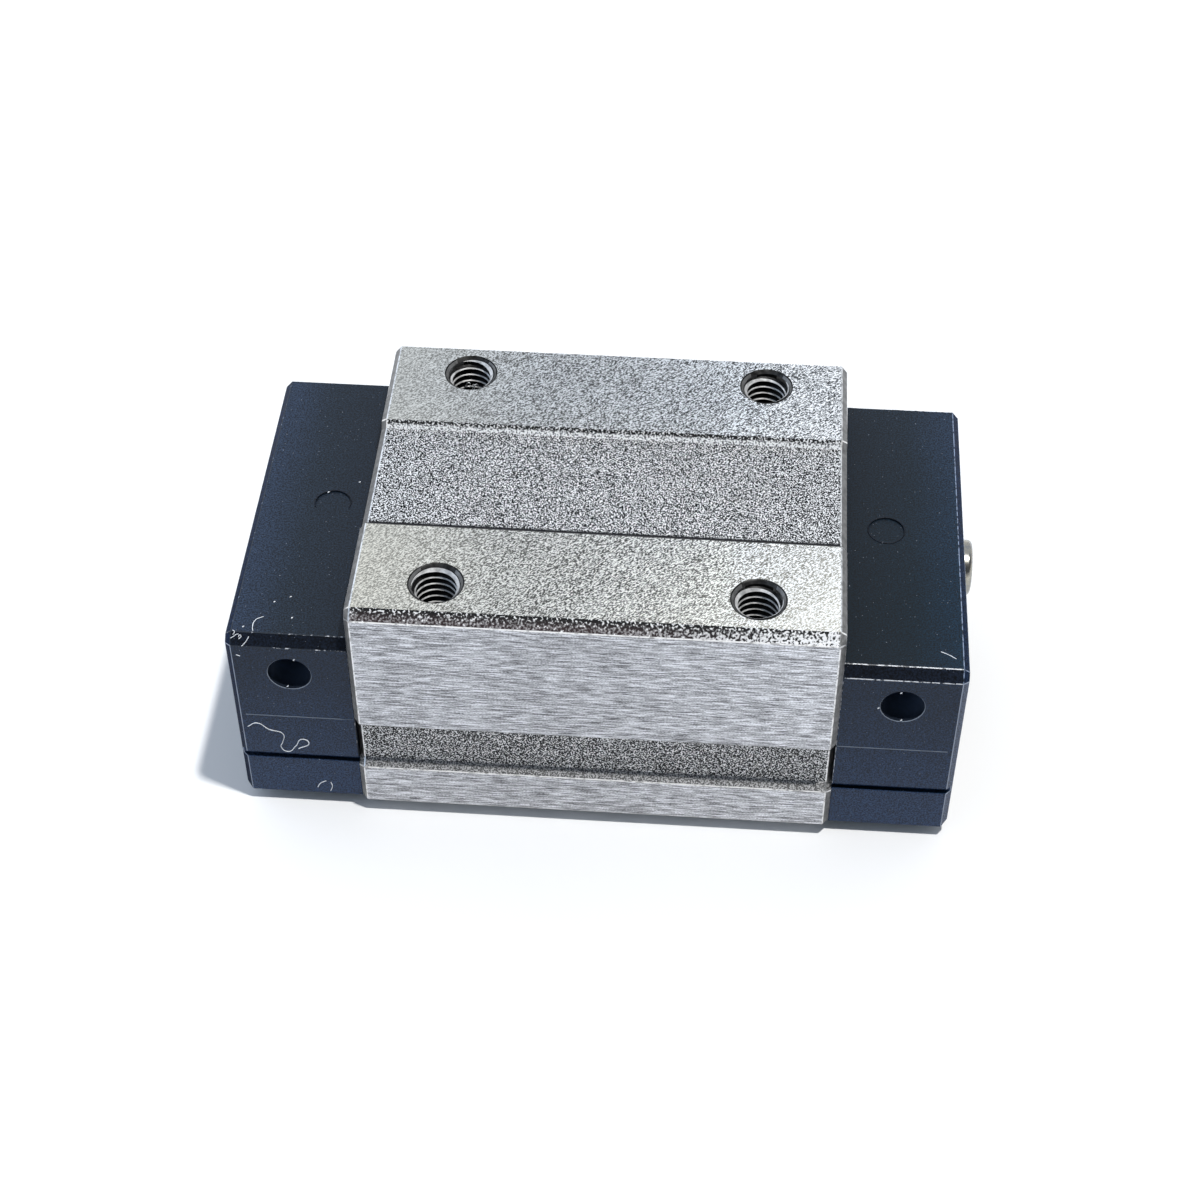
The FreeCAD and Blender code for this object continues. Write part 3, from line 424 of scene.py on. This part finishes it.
def make_cap_plastic(name, specular, share, stops, dim=(1.0, 1.0, 1.0)):
    """End caps: blue-black moulded plastic with a soft grain and dust.

    Its colours are given along a share as painted light and shade, and are dimmed towards the right front
    corner of the part as painted shade.
    """
    finish = Finish(name, roughness=0.42, specular=specular)
    skin = finish.grain(0.13 * MM, detail=1.0)
    cloud = finish.grain(5 * MM, detail=3.0)
    dust = finish.grain(0.13 * MM, detail=0.0, shift=5.0)
    clouded = finish.sum(share(finish), cloud, 0.2)
    base = finish.ramp(clouded, [(0.1 + position, colour) for position, colour in stops])
    corner = finish.ramp(to_right_front(finish), [(0.1, tone(1.0)), (1.0, dim)])
    mottled = finish.ramp(skin, [(0.35, tone(0.25)), (0.65, tone(1.75))])
    base = finish.times(base, finish.times(corner, mottled))
    specks = finish.ramp(dust, [(0.84, tone(0.0)), (0.87, tone(1.0))])
    finish.paint(finish.mix(specks, base, DUST_COLOUR))
    finish.roughen(skin, 0.36, 0.5)
    finish.bump(skin, 0.004 * MM)
    return finish.material


def make_cap_edge(name, light):
    """Edges of the caps: painted highlights in dashes, more on the right cap."""
    finish = Finish(name, roughness=0.4, specular=0.3)
    dashes = finish.grain(0.4 * MM, detail=3.0)
    glint_dashes = finish.sum(dashes, finish.along("X", -CAP.x, CAP.x), 0.22)
    finish.paint(finish.ramp(glint_dashes, [(0.6, CAP_COLOUR), (0.74, light)]))
    return finish.material


def make_plastic(name, colour, roughness, specular=0.5):
    """Moulded plastic, rubber or lint with a slightly uneven colour and skin."""
    finish = Finish(name, roughness=roughness, specular=specular)
    cloud = finish.grain(1.5 * MM, detail=3.0)
    skin = finish.grain(0.1 * MM)
    finish.paint(finish.ramp(cloud, [(0.35, tone(0.85, colour)), (0.65, tone(1.1, colour))]))
    finish.bump(skin, 0.003 * MM)
    return finish.material


def make_port_inside():
    """Lubrication ports: painted shade, darkest at the mouth and lighter deeper in."""
    finish = Finish("port_inside", roughness=0.5, specular=0.05)
    depth = finish.along("Y", CAP.y, CAP.y - PORT_FADE, mirrored=True)
    clouded = finish.sum(depth, finish.grain(0.5 * MM), 0.1)
    finish.paint(finish.ramp(clouded, [(0.1, PORT_MOUTH_COLOUR), (0.9, PORT_DEEP_COLOUR)]))
    return finish.material


# Finishes of the steel block
GROUND = make_ground_steel()
BLASTED = make_recess_floor()
RAGGED = make_recess_wall()
BAND = make_side_band("blasted_band", 0.125 * MM, 0.04 * MM, 0.5, 0.003, 0.06, 0.8)
# The band's slopes and end chamfers: a copy of the band's finish with painted light and shade, its dark
# grains lighter and its light grains darker
BAND_SLOPE = make_side_band("band_slope", 0.13 * MM, 0.03 * MM, 0.47, 0.06, 0.14, 0.34)
DARK_CHAMFER = make_dark_chamfer_steel()
BRUSHED = make_brushed_steel()
MACHINED = make_machined_steel()
BRIGHT_EDGE = make_bright_edge()
# Painted glints on the thread crests
PAINTED_GLINT_STEEL = make_metal("painted_glint_steel", 0.42, 0.8, metallic=0.5)
# Painted shade: nearly black steel for thread roots, bores, hole rims and gentle slopes in the recess, and
# dark countersinks
PAINTED_SHADE_STEEL = make_metal("painted_shade_steel", 0.01, 0.03)
SINK = make_metal("bolt_sink", 0.02, 0.06)
# End chamfers: a copy of the machined steel painted darker, as painted shade
END_SLOPE = make_metal("end_slope", 0.14, 0.23)

# Finishes of the caps: lit and shaded copies of one plastic, with painted light and shade laid along each
TOP_STOPS = [(0.0, CAP_INNER_COLOUR), (0.55, CAP_COLOUR), (0.9, CAP_OUTER_COLOUR)]
SIDE_STOPS = [(0.0, CAP_FOOT_COLOUR), (0.8, CAP_SIDE_COLOUR)]
SLOPE_STOPS = [(0.0, CAP_SLOPE_COLOUR), (0.9, tone(1.4, CAP_SLOPE_COLOUR))]
RIM_STOPS = [(0.0, CAP_RIM_COLOUR), (0.9, tone(1.4, CAP_RIM_COLOUR))]
POST_STOPS = [(0.0, CAP_POST_COLOUR), (0.9, tone(0.8, CAP_POST_COLOUR))]
CAP_PLASTIC = make_cap_plastic("cap_plastic", 0.2, to_end, TOP_STOPS, CAP_CORNER_DIM)
CAP_SIDE = make_cap_plastic("cap_side", 0.2, to_top, SIDE_STOPS)
CAP_SLOPE = make_cap_plastic("cap_slope", 0.15, to_end, SLOPE_STOPS)
CAP_RIM = make_cap_plastic("cap_rim", 0.02, to_top, RIM_STOPS)
CAP_POST = make_cap_plastic("cap_post", 0.2, to_top, POST_STOPS)
# Painted highlights on the broken edges of the caps and around the ports
CAP_EDGE = make_cap_edge("cap_edge", (0.6, 0.62, 0.66))
CAP_RIM_EDGE = make_cap_edge("cap_rim_edge", (0.2, 0.26, 0.38))
POST_EDGE = make_plastic("post_edge", (0.24, 0.28, 0.36), 0.5)
PORT_EDGE = make_plastic("port_edge", (0.16, 0.19, 0.24), 0.5)
PORT_INSIDE = make_port_inside()
# Weld line: light grey, a painted highlight on its ridge
WELD = make_plastic("weld_line", (0.11, 0.135, 0.175), 0.5)

# Finishes of the other pieces
SEAL_RUBBER = make_plastic("seal_rubber", (0.018, 0.018, 0.02), 0.6, 0.3)
RETAINER_PLASTIC = make_plastic("retainer_plastic", (0.03, 0.035, 0.045), 0.45)
GUIDE_PLASTIC = make_plastic("guide_plastic", (0.07, 0.072, 0.075), 0.4)
BALL_STEEL = make_metal("ball_steel", 0.7, 0.8, 0.08, 1.0 * MM, COOL)
BRIGHT_SCREW = make_metal("bright_screw", 0.26, 0.34, 0.25, 0.5 * MM, WARM)
BLACK_SCREW = make_metal("black_screw", 0.06, 0.075, 0.35, 0.5 * MM, COOL)
LINT = make_plastic("lint", (0.8, 0.83, 0.87), 0.6)
SWARF = make_metal("swarf", 0.7, 0.95, 0.3, 0.2 * MM, COOL)


def add_object(name, shape):
    """Link a mesh or curve to the scene as a piece that rides on the carriage."""
    piece = bpy.data.objects.new(name, shape)
    bpy.context.scene.collection.objects.link(piece)
    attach(piece, "carriage")
    return piece


def to_piece(shape, name, finishes):
    """Turn a mesh being edited into a piece, with planes shaded flat and rounded faces smooth."""
    for edge in shape.edges:
        edge.smooth = edge.is_manifold and edge.calc_face_angle() < SHARP
    for face in shape.faces:
        face.smooth = any(edge.smooth and edge.calc_face_angle() > FLAT for edge in face.edges)
    mesh = bpy.data.meshes.new(name)
    shape.to_mesh(mesh)
    shape.free()
    for finish in finishes:
        mesh.materials.append(finish)
    return add_object(name, mesh)


def rebuild(node, name, edge_kinds, finishes, choose, choose_edge):
    """Make a copy of a CAD node with broken edges and a finish for each of its faces.

    A kind of edge is a test of its two ends and the width that it is broken to. The finish of a face
    comes from its middle and its normal, that of a broken edge from its middle.
    """
    shape = bmesh.new()
    shape.from_mesh(NODES[node].data)
    bmesh.ops.remove_doubles(shape, verts=shape.verts, dist=SAME)
    bmesh.ops.dissolve_limit(shape, angle_limit=FLAT, verts=shape.verts, edges=shape.edges)
    edge_faces = set()
    for wanted, width in edge_kinds:
        edges = [edge for edge in shape.edges if edge.is_manifold and edge.is_convex
                 and edge.calc_face_angle() > SHARP and not edge_faces.intersection(edge.link_faces)
                 and wanted(*[corner.co for corner in edge.verts])]
        broken = bmesh.ops.bevel(shape, geom=edges, offset=width, offset_type="OFFSET", segments=1,
                                 profile=0.5, affect="EDGES", clamp_overlap=True)
        edge_faces.update(broken["faces"])
    shape.normal_update()
    for face in shape.faces:
        middle = face.calc_center_median()
        finish = choose_edge(middle) if face in edge_faces else choose(middle, face.normal)
        face.material_index = finishes.index(finish)
    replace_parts(to_piece(shape, name, finishes), node)


def reach(point, spot):
    """Return how far a point is from the nearest of a spot and its mirror images, seen along one axis."""
    return math.hypot(abs(point[0]) - abs(spot[0]), abs(point[1]) - abs(spot[1]))


def on_bolt_rim(point):
    """Tell whether a point is on the outer rim of a tapped hole."""
    return point.z > BLOCK.z - CLOSE and reach((point.x, point.y), BOLT_SPOTS[0]) < BOLT_RIM + CLOSE


def on_recess_edge(*points):
    """Tell whether an edge is one of the two long upper edges of the recess."""
    return all(point.z > BLOCK.z - NEAR and abs(abs(point.y) - RECESS_HALF) < NEAR for point in points)


def on_front_recess_edge(*points):
    """Tell whether an edge is the front one of the recess."""
    return on_recess_edge(*points) and points[0].y < 0


def on_block_outside(*points):
    """Tell whether an edge is one of the outer edges that are broken, or the rim of a tapped hole."""
    if all(on_bolt_rim(point) for point in points):
        return True
    if on_recess_edge(*points):
        return False
    for point in points:
        outside = abs(point.y) > BLOCK.y - BAND_DEPTH - NEAR or point.z > BLOCK.z - RECESS_DEPTH - NEAR
        if not outside or reach((point.x, point.y), BOLT_SPOTS[0]) < BOLT_RIM:
            return False
    chamfer_line = BLOCK.y - TOP_CHAMFER
    return not all(point.z > BLOCK.z - NEAR and abs(point.y) > chamfer_line - NEAR for point in points)


def choose_block_edge(middle):
    """Return the finish of a broken edge of the steel block: painted shade at the rims of the tapped holes,
    bright elsewhere.
    """
    return PAINTED_SHADE_STEEL if on_bolt_rim(middle) else BRIGHT_EDGE


def choose_block(middle, normal):
    """Return the finish of a face of the steel block."""
    side = abs(middle.y)
    in_band = side > BLOCK.y - BAND_DEPTH - NEAR and BAND_BOTTOM < middle.z < BAND_TOP
    if abs(normal.x) > FACING:
        return MACHINED
    if abs(normal.x) > HALFWAY:
        return BAND_SLOPE if in_band else END_SLOPE
    # Tapped holes: painted shade on the countersink and in the bore
    if reach((middle.x, middle.y), BOLT_SPOTS[0]) < BOLT_RIM and middle.z > BLOCK.z / 2:
        return SINK if normal.z > HALFWAY and middle.z > BLOCK.z - THREAD_PITCH else PAINTED_SHADE_STEEL
    in_recess = BLOCK.z - RECESS_DEPTH - NEAR < middle.z < BLOCK.z - NEAR
    if in_recess and side < RECESS_HALF + RECESS_EDGE_WIDTH:
        if normal.z > FACING:
            return BLASTED
        # Gentle slopes in the recess are painted shade
        return PAINTED_SHADE_STEEL if normal.z > MOSTLY else RAGGED
    if middle.z > BLOCK.z - NEAR:
        return GROUND
    if side > BLOCK.y - TOP_CHAMFER and middle.z > BLOCK.z - TOP_CHAMFER:
        return DARK_CHAMFER
    if side > BLOCK.y - NEAR:
        return BRUSHED
    if in_band:
        return BAND_SLOPE if normal.z > LEANING else BAND
    return MACHINED


def on_cap_outside(*points):
    """Tell whether an edge is one of the outer edges of a cap, away from its mould mark."""
    for point in points:
        outside = abs(point.y) > CAP.y - CAP_CHAMFER - NEAR or point.z > CAP.z - CAP_CHAMFER - NEAR
        from_mark = reach((point.x, point.y), (MARK_SPOT, 0))
        in_mark = point.z > CAP.z / 2 and from_mark < MARK_RADIUS + RIM_WIDTH
        if not outside or in_mark:
            return False
    return True


def in_port(point):
    """Tell whether a point is in a lubrication port or on its rim."""
    from_port = reach((point.x, point.z), (PORT.x, PORT.z))
    return abs(point.y) > CAP.y / 2 and from_port < PORT_RADIUS + RIM_WIDTH


def choose_cap(middle, normal):
    """Return the finish of a face of an end cap: a lit or shaded copy of the plastic, painted by where the
    face lies and which way it faces.
    """
    if in_port(middle) and abs(middle.y) < CAP.y - NEAR:
        return PORT_INSIDE
    if LEANING < abs(normal.x) < FACING and abs(middle.x) > CAP.x - CAP_END_CHAMFER - NEAR:
        return CAP_POST if middle.x > 0 and normal.z < LEANING else CAP_RIM
    if abs(normal.y) > FACING:
        return CAP_SIDE
    return CAP_SLOPE if abs(normal.y) > LEANING and normal.z > LEANING else CAP_PLASTIC


def choose_cap_edge(middle):
    """Return the finish of a broken edge of an end cap: painted highlights, light along the top and fainter
    elsewhere.
    """
    if in_port(middle):
        return PORT_EDGE
    if abs(middle.x) < CAP.x - CAP_END_CHAMFER - CLOSE:
        return CAP_SIDE if middle.z < CAP.z / 2 else CAP_EDGE
    return CAP_RIM_EDGE if middle.z > CAP.z - CAP_CHAMFER else POST_EDGE


def join_rings(shape, rings):
    """Close a tube through rings of corners with faces along it and at its ends; return the faces along it.

    The faces come as one list for each corner of a ring.
    """
    sides = [[] for _ in rings[0]]
    for ring, after in zip(rings, rings[1:]):
        for corner, faces in enumerate(sides):
            follow = (corner + 1) % len(ring)
            faces.append(shape.faces.new((ring[corner], after[corner], after[follow], ring[follow])))
    shape.faces.new(rings[0])
    shape.faces.new(reversed(rings[-1]))
    bmesh.ops.recalc_face_normals(shape, faces=shape.faces)
    return sides


def add_thread(name, spot, phase):
    """Add the ridge of the thread in a tapped hole: a closed helix that runs out at both ends.

    The upper side of its crest is broken into a narrow facet with a painted glint, widest on the first turn,
    and the rest of the ridge is painted shade.
    """
    root = BOLT_RADIUS + THREAD_SUNK
    turns = (THREAD_BOTTOM - THREAD_TOP) / THREAD_PITCH
    count = round(turns * THREAD_STEPS)
    shape = bmesh.new()
    rings = []
    for step in range(count + 1):
        depth = THREAD_BOTTOM - (THREAD_BOTTOM - THREAD_TOP) * step / count
        angle = math.pi / 2 + 2 * math.pi * (phase - depth) / THREAD_PITCH
        from_bottom = (step + 1) / THREAD_STEPS
        to_surface = (count - step) / THREAD_STEPS
        runout = min(1, from_bottom / RUNOUT_BOTTOM, (to_surface + 1 / THREAD_STEPS) / RUNOUT_TOP)
        first = min(1, max(0, 1 - to_surface) / GLINT_FADE)
        glint = (THREAD_GLINT + (THREAD_FIRST_GLINT - THREAD_GLINT) * first) * runout
        foot = THREAD_FOOT * runout
        half_tip = THREAD_TIP * runout
        tip = root - THREAD_HEIGHT * runout
        corners = [(root, -foot), (tip, -half_tip), (tip, half_tip), (tip + glint, half_tip + glint),
                   (root, foot)]
        rings.append([shape.verts.new((spot[0] + radius * math.cos(angle), spot[1] + radius * math.sin(angle),
                                       BLOCK.z - depth + lift)) for radius, lift in corners])
    under, tips, _, upper, backs = join_rings(shape, rings)
    # Every face but the glint facet is painted shade
    for face in (*under, *tips, *upper, *backs):
        face.material_index = 1
    to_piece(shape, name, [PAINTED_GLINT_STEEL, PAINTED_SHADE_STEEL])


def add_weld_line(name, side_x, side_y):
    """Add the low ridge of the mould's flow line along a cap's side; its light grey finish is a painted
    highlight.
    """
    ends = [side_x * (CAP_INNER + WELD_INSET), side_x * (CAP.x - CAP_CHAMFER - WELD_INSET)]
    wall = side_y * (CAP.y - WELD_RISE / 2)
    crown = side_y * (CAP.y + WELD_RISE)
    profile = [(wall, -WELD_WIDTH / 2), (crown, 0), (wall, WELD_WIDTH / 2)]
    shape = bmesh.new()
    join_rings(shape, [[shape.verts.new((x, y, WELD_HEIGHT + lift)) for y, lift in profile] for x in ends])
    to_piece(shape, name, [WELD])


def add_lint(name, spots, finish=LINT, radius=LINT_RADIUS):
    """Add a fibre that runs smoothly through its spots, given in millimetres."""
    curve = bpy.data.curves.new(name, "CURVE")
    curve.dimensions = "3D"
    curve.bevel_depth = radius
    curve.bevel_resolution = 1
    curve.resolution_u = 8
    curve.use_fill_caps = True
    spline = curve.splines.new("BEZIER")
    spline.bezier_points.add(len(spots) - 1)
    for point, spot in zip(spline.bezier_points, spots):
        point.co = Vector(spot) * MM
        point.handle_left_type = point.handle_right_type = "AUTO"
    curve.materials.append(finish)
    add_object(name, curve)


# Steel block and caps
BLOCK_FINISHES = [BRIGHT_EDGE, GROUND, BLASTED, RAGGED, BAND, BAND_SLOPE, DARK_CHAMFER, BRUSHED, MACHINED,
                  END_SLOPE, SINK, PAINTED_SHADE_STEEL]
BLOCK_EDGES = [(on_front_recess_edge, RECESS_EDGE_WIDTH), (on_block_outside, BLOCK_EDGE_WIDTH)]
CAP_FINISHES = [CAP_EDGE, CAP_RIM_EDGE, POST_EDGE, PORT_EDGE, CAP_PLASTIC, CAP_SIDE, CAP_SLOPE, CAP_RIM,
                CAP_POST, PORT_INSIDE]
CAP_EDGES = [(on_cap_outside, CAP_EDGE_WIDTH)]
rebuild("carriage_block", "steel_block", BLOCK_EDGES, BLOCK_FINISHES,
        choose_block, choose_block_edge)
for side in ("left", "right"):
    rebuild(f"{side}_end_cap", f"{side}_cap", CAP_EDGES, CAP_FINISHES,
            choose_cap, choose_cap_edge)
for number, (bolt_spot, thread_phase) in enumerate(zip(BOLT_SPOTS, THREAD_PHASES), start=1):
    add_thread(f"thread_{number}", bolt_spot, thread_phase)
for side, side_x in (("left", -1), ("right", 1)):
    for place, side_y in (("front", -1), ("rear", 1)):
        add_weld_line(f"{side}_{place}_weld_line", side_x, side_y)

# Lint on the caps, in millimetres: places on the front side as (x, z) and on the top as (x, y)
FRONT = -CAP.y / MM
ROOF = CAP.z / MM
LINT_LIFT = LINT_RADIUS / MM / 2
FRONT_LINT = {
    "long_lint": [(-29.3, 8.7), (-28.5, 9.2), (-27.5, 8.45), (-26.4, 8.0), (-26.5, 6.9), (-26.7, 6.3),
                  (-26.2, 5.7), (-25.4, 6.5), (-24.8, 7.4), (-24.25, 7.0), (-25.2, 6.15)],
    "rim_lint": [(-29.32, 17.6), (-29.15, 17.55), (-29.01, 17.48)],
    "low_lint": [(-24.0, 1.15), (-23.7, 1.7), (-23.2, 2.05)],
    "low_curl": [(-22.8, 1.9), (-22.7, 1.4), (-22.9, 0.75)],
}
ROOF_LINT = {
    "corner_lint": [(-27.3, -13.75), (-27.9, -14.2), (-28.0, -15.0), (-27.9, -15.4)],
    "right_lint": [(27.9, -13.75), (28.5, -14.05), (29.1, -14.45)],
}
for lint, spots in FRONT_LINT.items():
    add_lint(lint, [(x, FRONT - LINT_LIFT, z) for x, z in spots])
for lint, spots in ROOF_LINT.items():
    add_lint(lint, [(x, y, ROOF + LINT_LIFT) for x, y in spots])

# Lint that lies over the top edge of the left cap: (x, y) along the slope, lifted off it by half a fibre
SLOPE_LINT = {
    "edge_lint": [(-28.2, -15.82), (-28.3, -15.98), (-28.55, -16.25), (-28.75, -16.4)],
    "edge_curl": [(-29.55, -15.5), (-29.4, -15.55), (-29.4, -15.65), (-29.5, -15.75)],
    "edge_wave": [(-29.7, -15.97), (-29.49, -15.88), (-29.18, -15.72), (-29.05, -15.71)],
    "edge_ring": [(-29.03, -15.89), (-28.96, -15.76), (-28.83, -15.8), (-28.89, -15.91), (-29.01, -15.98)],
}
SLOPE_LIFT = ROOF - CAP_CHAMFER / MM - FRONT + LINT_LIFT
for lint, spots in SLOPE_LINT.items():
    add_lint(lint, [(x, y, y + SLOPE_LIFT) for x, y in spots])

# Specks on the caps and a cutting chip in the left rear hole, in millimetres
SPECK_LENGTH = 0.12
FRONT_SPECKS = [(-24.64, 17.27), (-25.45, 14.0), (24.82, 17.15), (25.1, 13.85), (23.15, 15.21)]
ROOF_SPECKS = [(-28.84, -15.05), (-26.76, -12.08), (-25.51, -11.42), (-25.02, -13.79), (-24.3, 1.25),
               (-21.8, 2.7)]
CHIP = [(-0.9, 1.3, -2.9), (-0.44, 1.5, -2.5), (-0.3, 1.35, -2.8), (0.0, 1.3, -2.5), (0.05, 1.2, -2.85),
        (-0.15, 1.0, -3.0), (0.3, 1.25, -2.4), (0.4, 1.2, -2.75)]
for number, (x, z) in enumerate(FRONT_SPECKS, start=1):
    spots = [(x, FRONT, z), (x + SPECK_LENGTH, FRONT, z + SPECK_LENGTH)]
    add_lint(f"front_speck_{number}", spots, radius=SPECK_RADIUS)
for number, (x, y) in enumerate(ROOF_SPECKS, start=1):
    spots = [(x, y, ROOF), (x + SPECK_LENGTH, y + SPECK_LENGTH, ROOF)]
    add_lint(f"roof_speck_{number}", spots, radius=SPECK_RADIUS)
chip_x, chip_y = BOLT_SPOTS[1]
chip_spots = [(chip_x / MM + x, chip_y / MM + y, BLOCK.z / MM + z) for x, y, z in CHIP]
add_lint("chip", chip_spots, SWARF, SPECK_RADIUS)

# Dark lines around the mould marks on the caps, between two angles: an arc on the left, a ring on the right.
# They follow the marks' real edges and are painted shade of their sunken walls.
MARK_ARCS = [("left", -1, -20, 200), ("right", 1, -150, 210)]
MARK_STEP = 20
for side, side_x, first, last in MARK_ARCS:
    angles = [math.radians(degrees) for degrees in range(first, last + 1, MARK_STEP)]
    mark_x = side_x * MARK_SPOT / MM
    radius = MARK_RADIUS / MM
    spots = [(mark_x + radius * math.cos(angle), radius * math.sin(angle), ROOF) for angle in angles]
    add_lint(f"{side}_mark_shade_line", spots, CAP_SLOPE, MARK_SHADE_WIDTH)

# Pieces that keep their CAD shape
KEPT = {
    "end_seal": SEAL_RUBBER,
    "bottom_seal": SEAL_RUBBER,
    "retainer": RETAINER_PLASTIC,
    "return_tube": GUIDE_PLASTIC,
    "return_guide": GUIDE_PLASTIC,
    "balls": BALL_STEEL,
    "cap_screws": BLACK_SCREW,
    "port_set_screw": BLACK_SCREW,
    "grease_plug_screw": BRIGHT_SCREW,
}
for node_name, node in NODES.items():
    for ending, finish in KEPT.items():
        if node_name.endswith(ending):
            node.data.materials.clear()
            node.data.materials.append(finish)

# Table, in the photograph a little below the steel
TABLE_HALF = 30.0
TABLE_HEIGHT = -0.8 * MM
TABLE_WHITE_START = 0.12
TABLE_WHITE_END = 0.4
WHITE = (1, 1, 1, 1)
table_mesh = bpy.data.meshes.new("table")
corners = [(side_x * TABLE_HALF, side_y * TABLE_HALF, TABLE_HEIGHT)
           for side_x, side_y in ((-1, -1), (1, -1), (1, 1), (-1, 1))]
table_mesh.from_pydata(corners, [], [(0, 1, 2, 3)])
table = bpy.data.objects.new("table", table_mesh)
bpy.context.scene.collection.objects.link(table)

table_finish = Finish("table_white", roughness=0.7, specular=0.1)
cloud = table_finish.grain(40 * MM, detail=2.0)
table_finish.paint(table_finish.ramp(cloud, [(0.3, tone(0.88)), (0.7, tone(0.9))]))
# Far from the object, the table that is seen directly or mirrored is plain white
distance = table_finish.node("ShaderNodeVectorMath", {0: table_finish.place}, operation="LENGTH")
far = table_finish.span(distance.outputs["Value"], TABLE_WHITE_START, TABLE_WHITE_END)
table_finish.shader.inputs["Emission Color"].default_value = WHITE
table_finish.set("Emission Strength", table_finish.math("MULTIPLY", table_finish.seen(), far))
table_mesh.materials.append(table_finish.material)

# Sky: dark in front, bright behind and on the left
SKY = [(0.0, 0.12), (0.4, 0.14), (0.55, 0.3), (0.75, 0.9), (1.0, 0.9)]
SKY_LEFT = (0.58, 0.74, 0.98)
SKY_WHITE_START = math.sin(math.radians(15))
SKY_WHITE_END = math.sin(math.radians(20))
world = bpy.data.worlds.new("studio")
world.use_nodes = True
bpy.context.scene.world = world
sky = Nodes(world.node_tree, "Generated")
rear = sky.ramp(sky.along("Y", -1, 1), [(position, tone(level, BLUE)) for position, level in SKY])
left = sky.ramp(sky.along("X", -1, 1), [(0.0, SKY_LEFT), (0.5, tone(0.0))])
light = sky.mix(1.0, rear, left, "ADD")
# Near the horizon, the sky that is seen directly or mirrored is plain white
low_sky = sky.math("MULTIPLY", sky.seen(), sky.along("Z", SKY_WHITE_END, SKY_WHITE_START))
sky.tree.links.new(sky.mix(low_sky, light, WHITE), sky.tree.nodes["Background"].inputs["Color"])

# Lamp above the part, leaning to the right and to the front
LAMP_DISTANCE = 0.7
LEAN_RIGHT = math.radians(11.6)
LEAN_FRONT = math.radians(6.4)
LAMP_SIZE = 0.03
LAMP_POWER = 4.0
LAMP_COLOUR = (1.0, 0.99, 0.97)
lamp = bpy.data.lights.new("key", "AREA")
lamp.size = LAMP_SIZE
lamp.energy = LAMP_POWER
lamp.color = LAMP_COLOUR
lamp_object = bpy.data.objects.new("key", lamp)
bpy.context.scene.collection.objects.link(lamp_object)
away = Vector((math.tan(LEAN_RIGHT), -math.tan(LEAN_FRONT), 1)).normalized()
lamp_object.location = away * LAMP_DISTANCE
lamp_object.rotation_euler = away.to_track_quat("Z", "Y").to_euler()

# Camera at the photograph's place
CAMERA_SPOT = Vector((9.98, -145.54, 160.22)) * MM
CAMERA_TURN = math.radians(4.194)
CAMERA_DOWN = math.radians(45.9805)
CAMERA_ROLL = math.radians(-0.0736)
SENSOR_WIDTH = 36
LENS = 71.25
CLIP_START = 0.01
CLIP_END = 100
camera = bpy.data.cameras.new("camera")
camera.sensor_width = SENSOR_WIDTH
camera.lens = LENS
camera.clip_start = CLIP_START
camera.clip_end = CLIP_END
camera_object = bpy.data.objects.new("camera", camera)
bpy.context.scene.collection.objects.link(camera_object)
heading = Matrix.Rotation(CAMERA_TURN, 4, "Z") @ Matrix.Rotation(math.pi / 2 - CAMERA_DOWN, 4, "X")
camera_object.matrix_world = Matrix.Translation(CAMERA_SPOT) @ heading @ Matrix.Rotation(CAMERA_ROLL, 4, "Z")
bpy.context.scene.camera = camera_object
bpy.context.scene.view_settings.view_transform = "Standard"
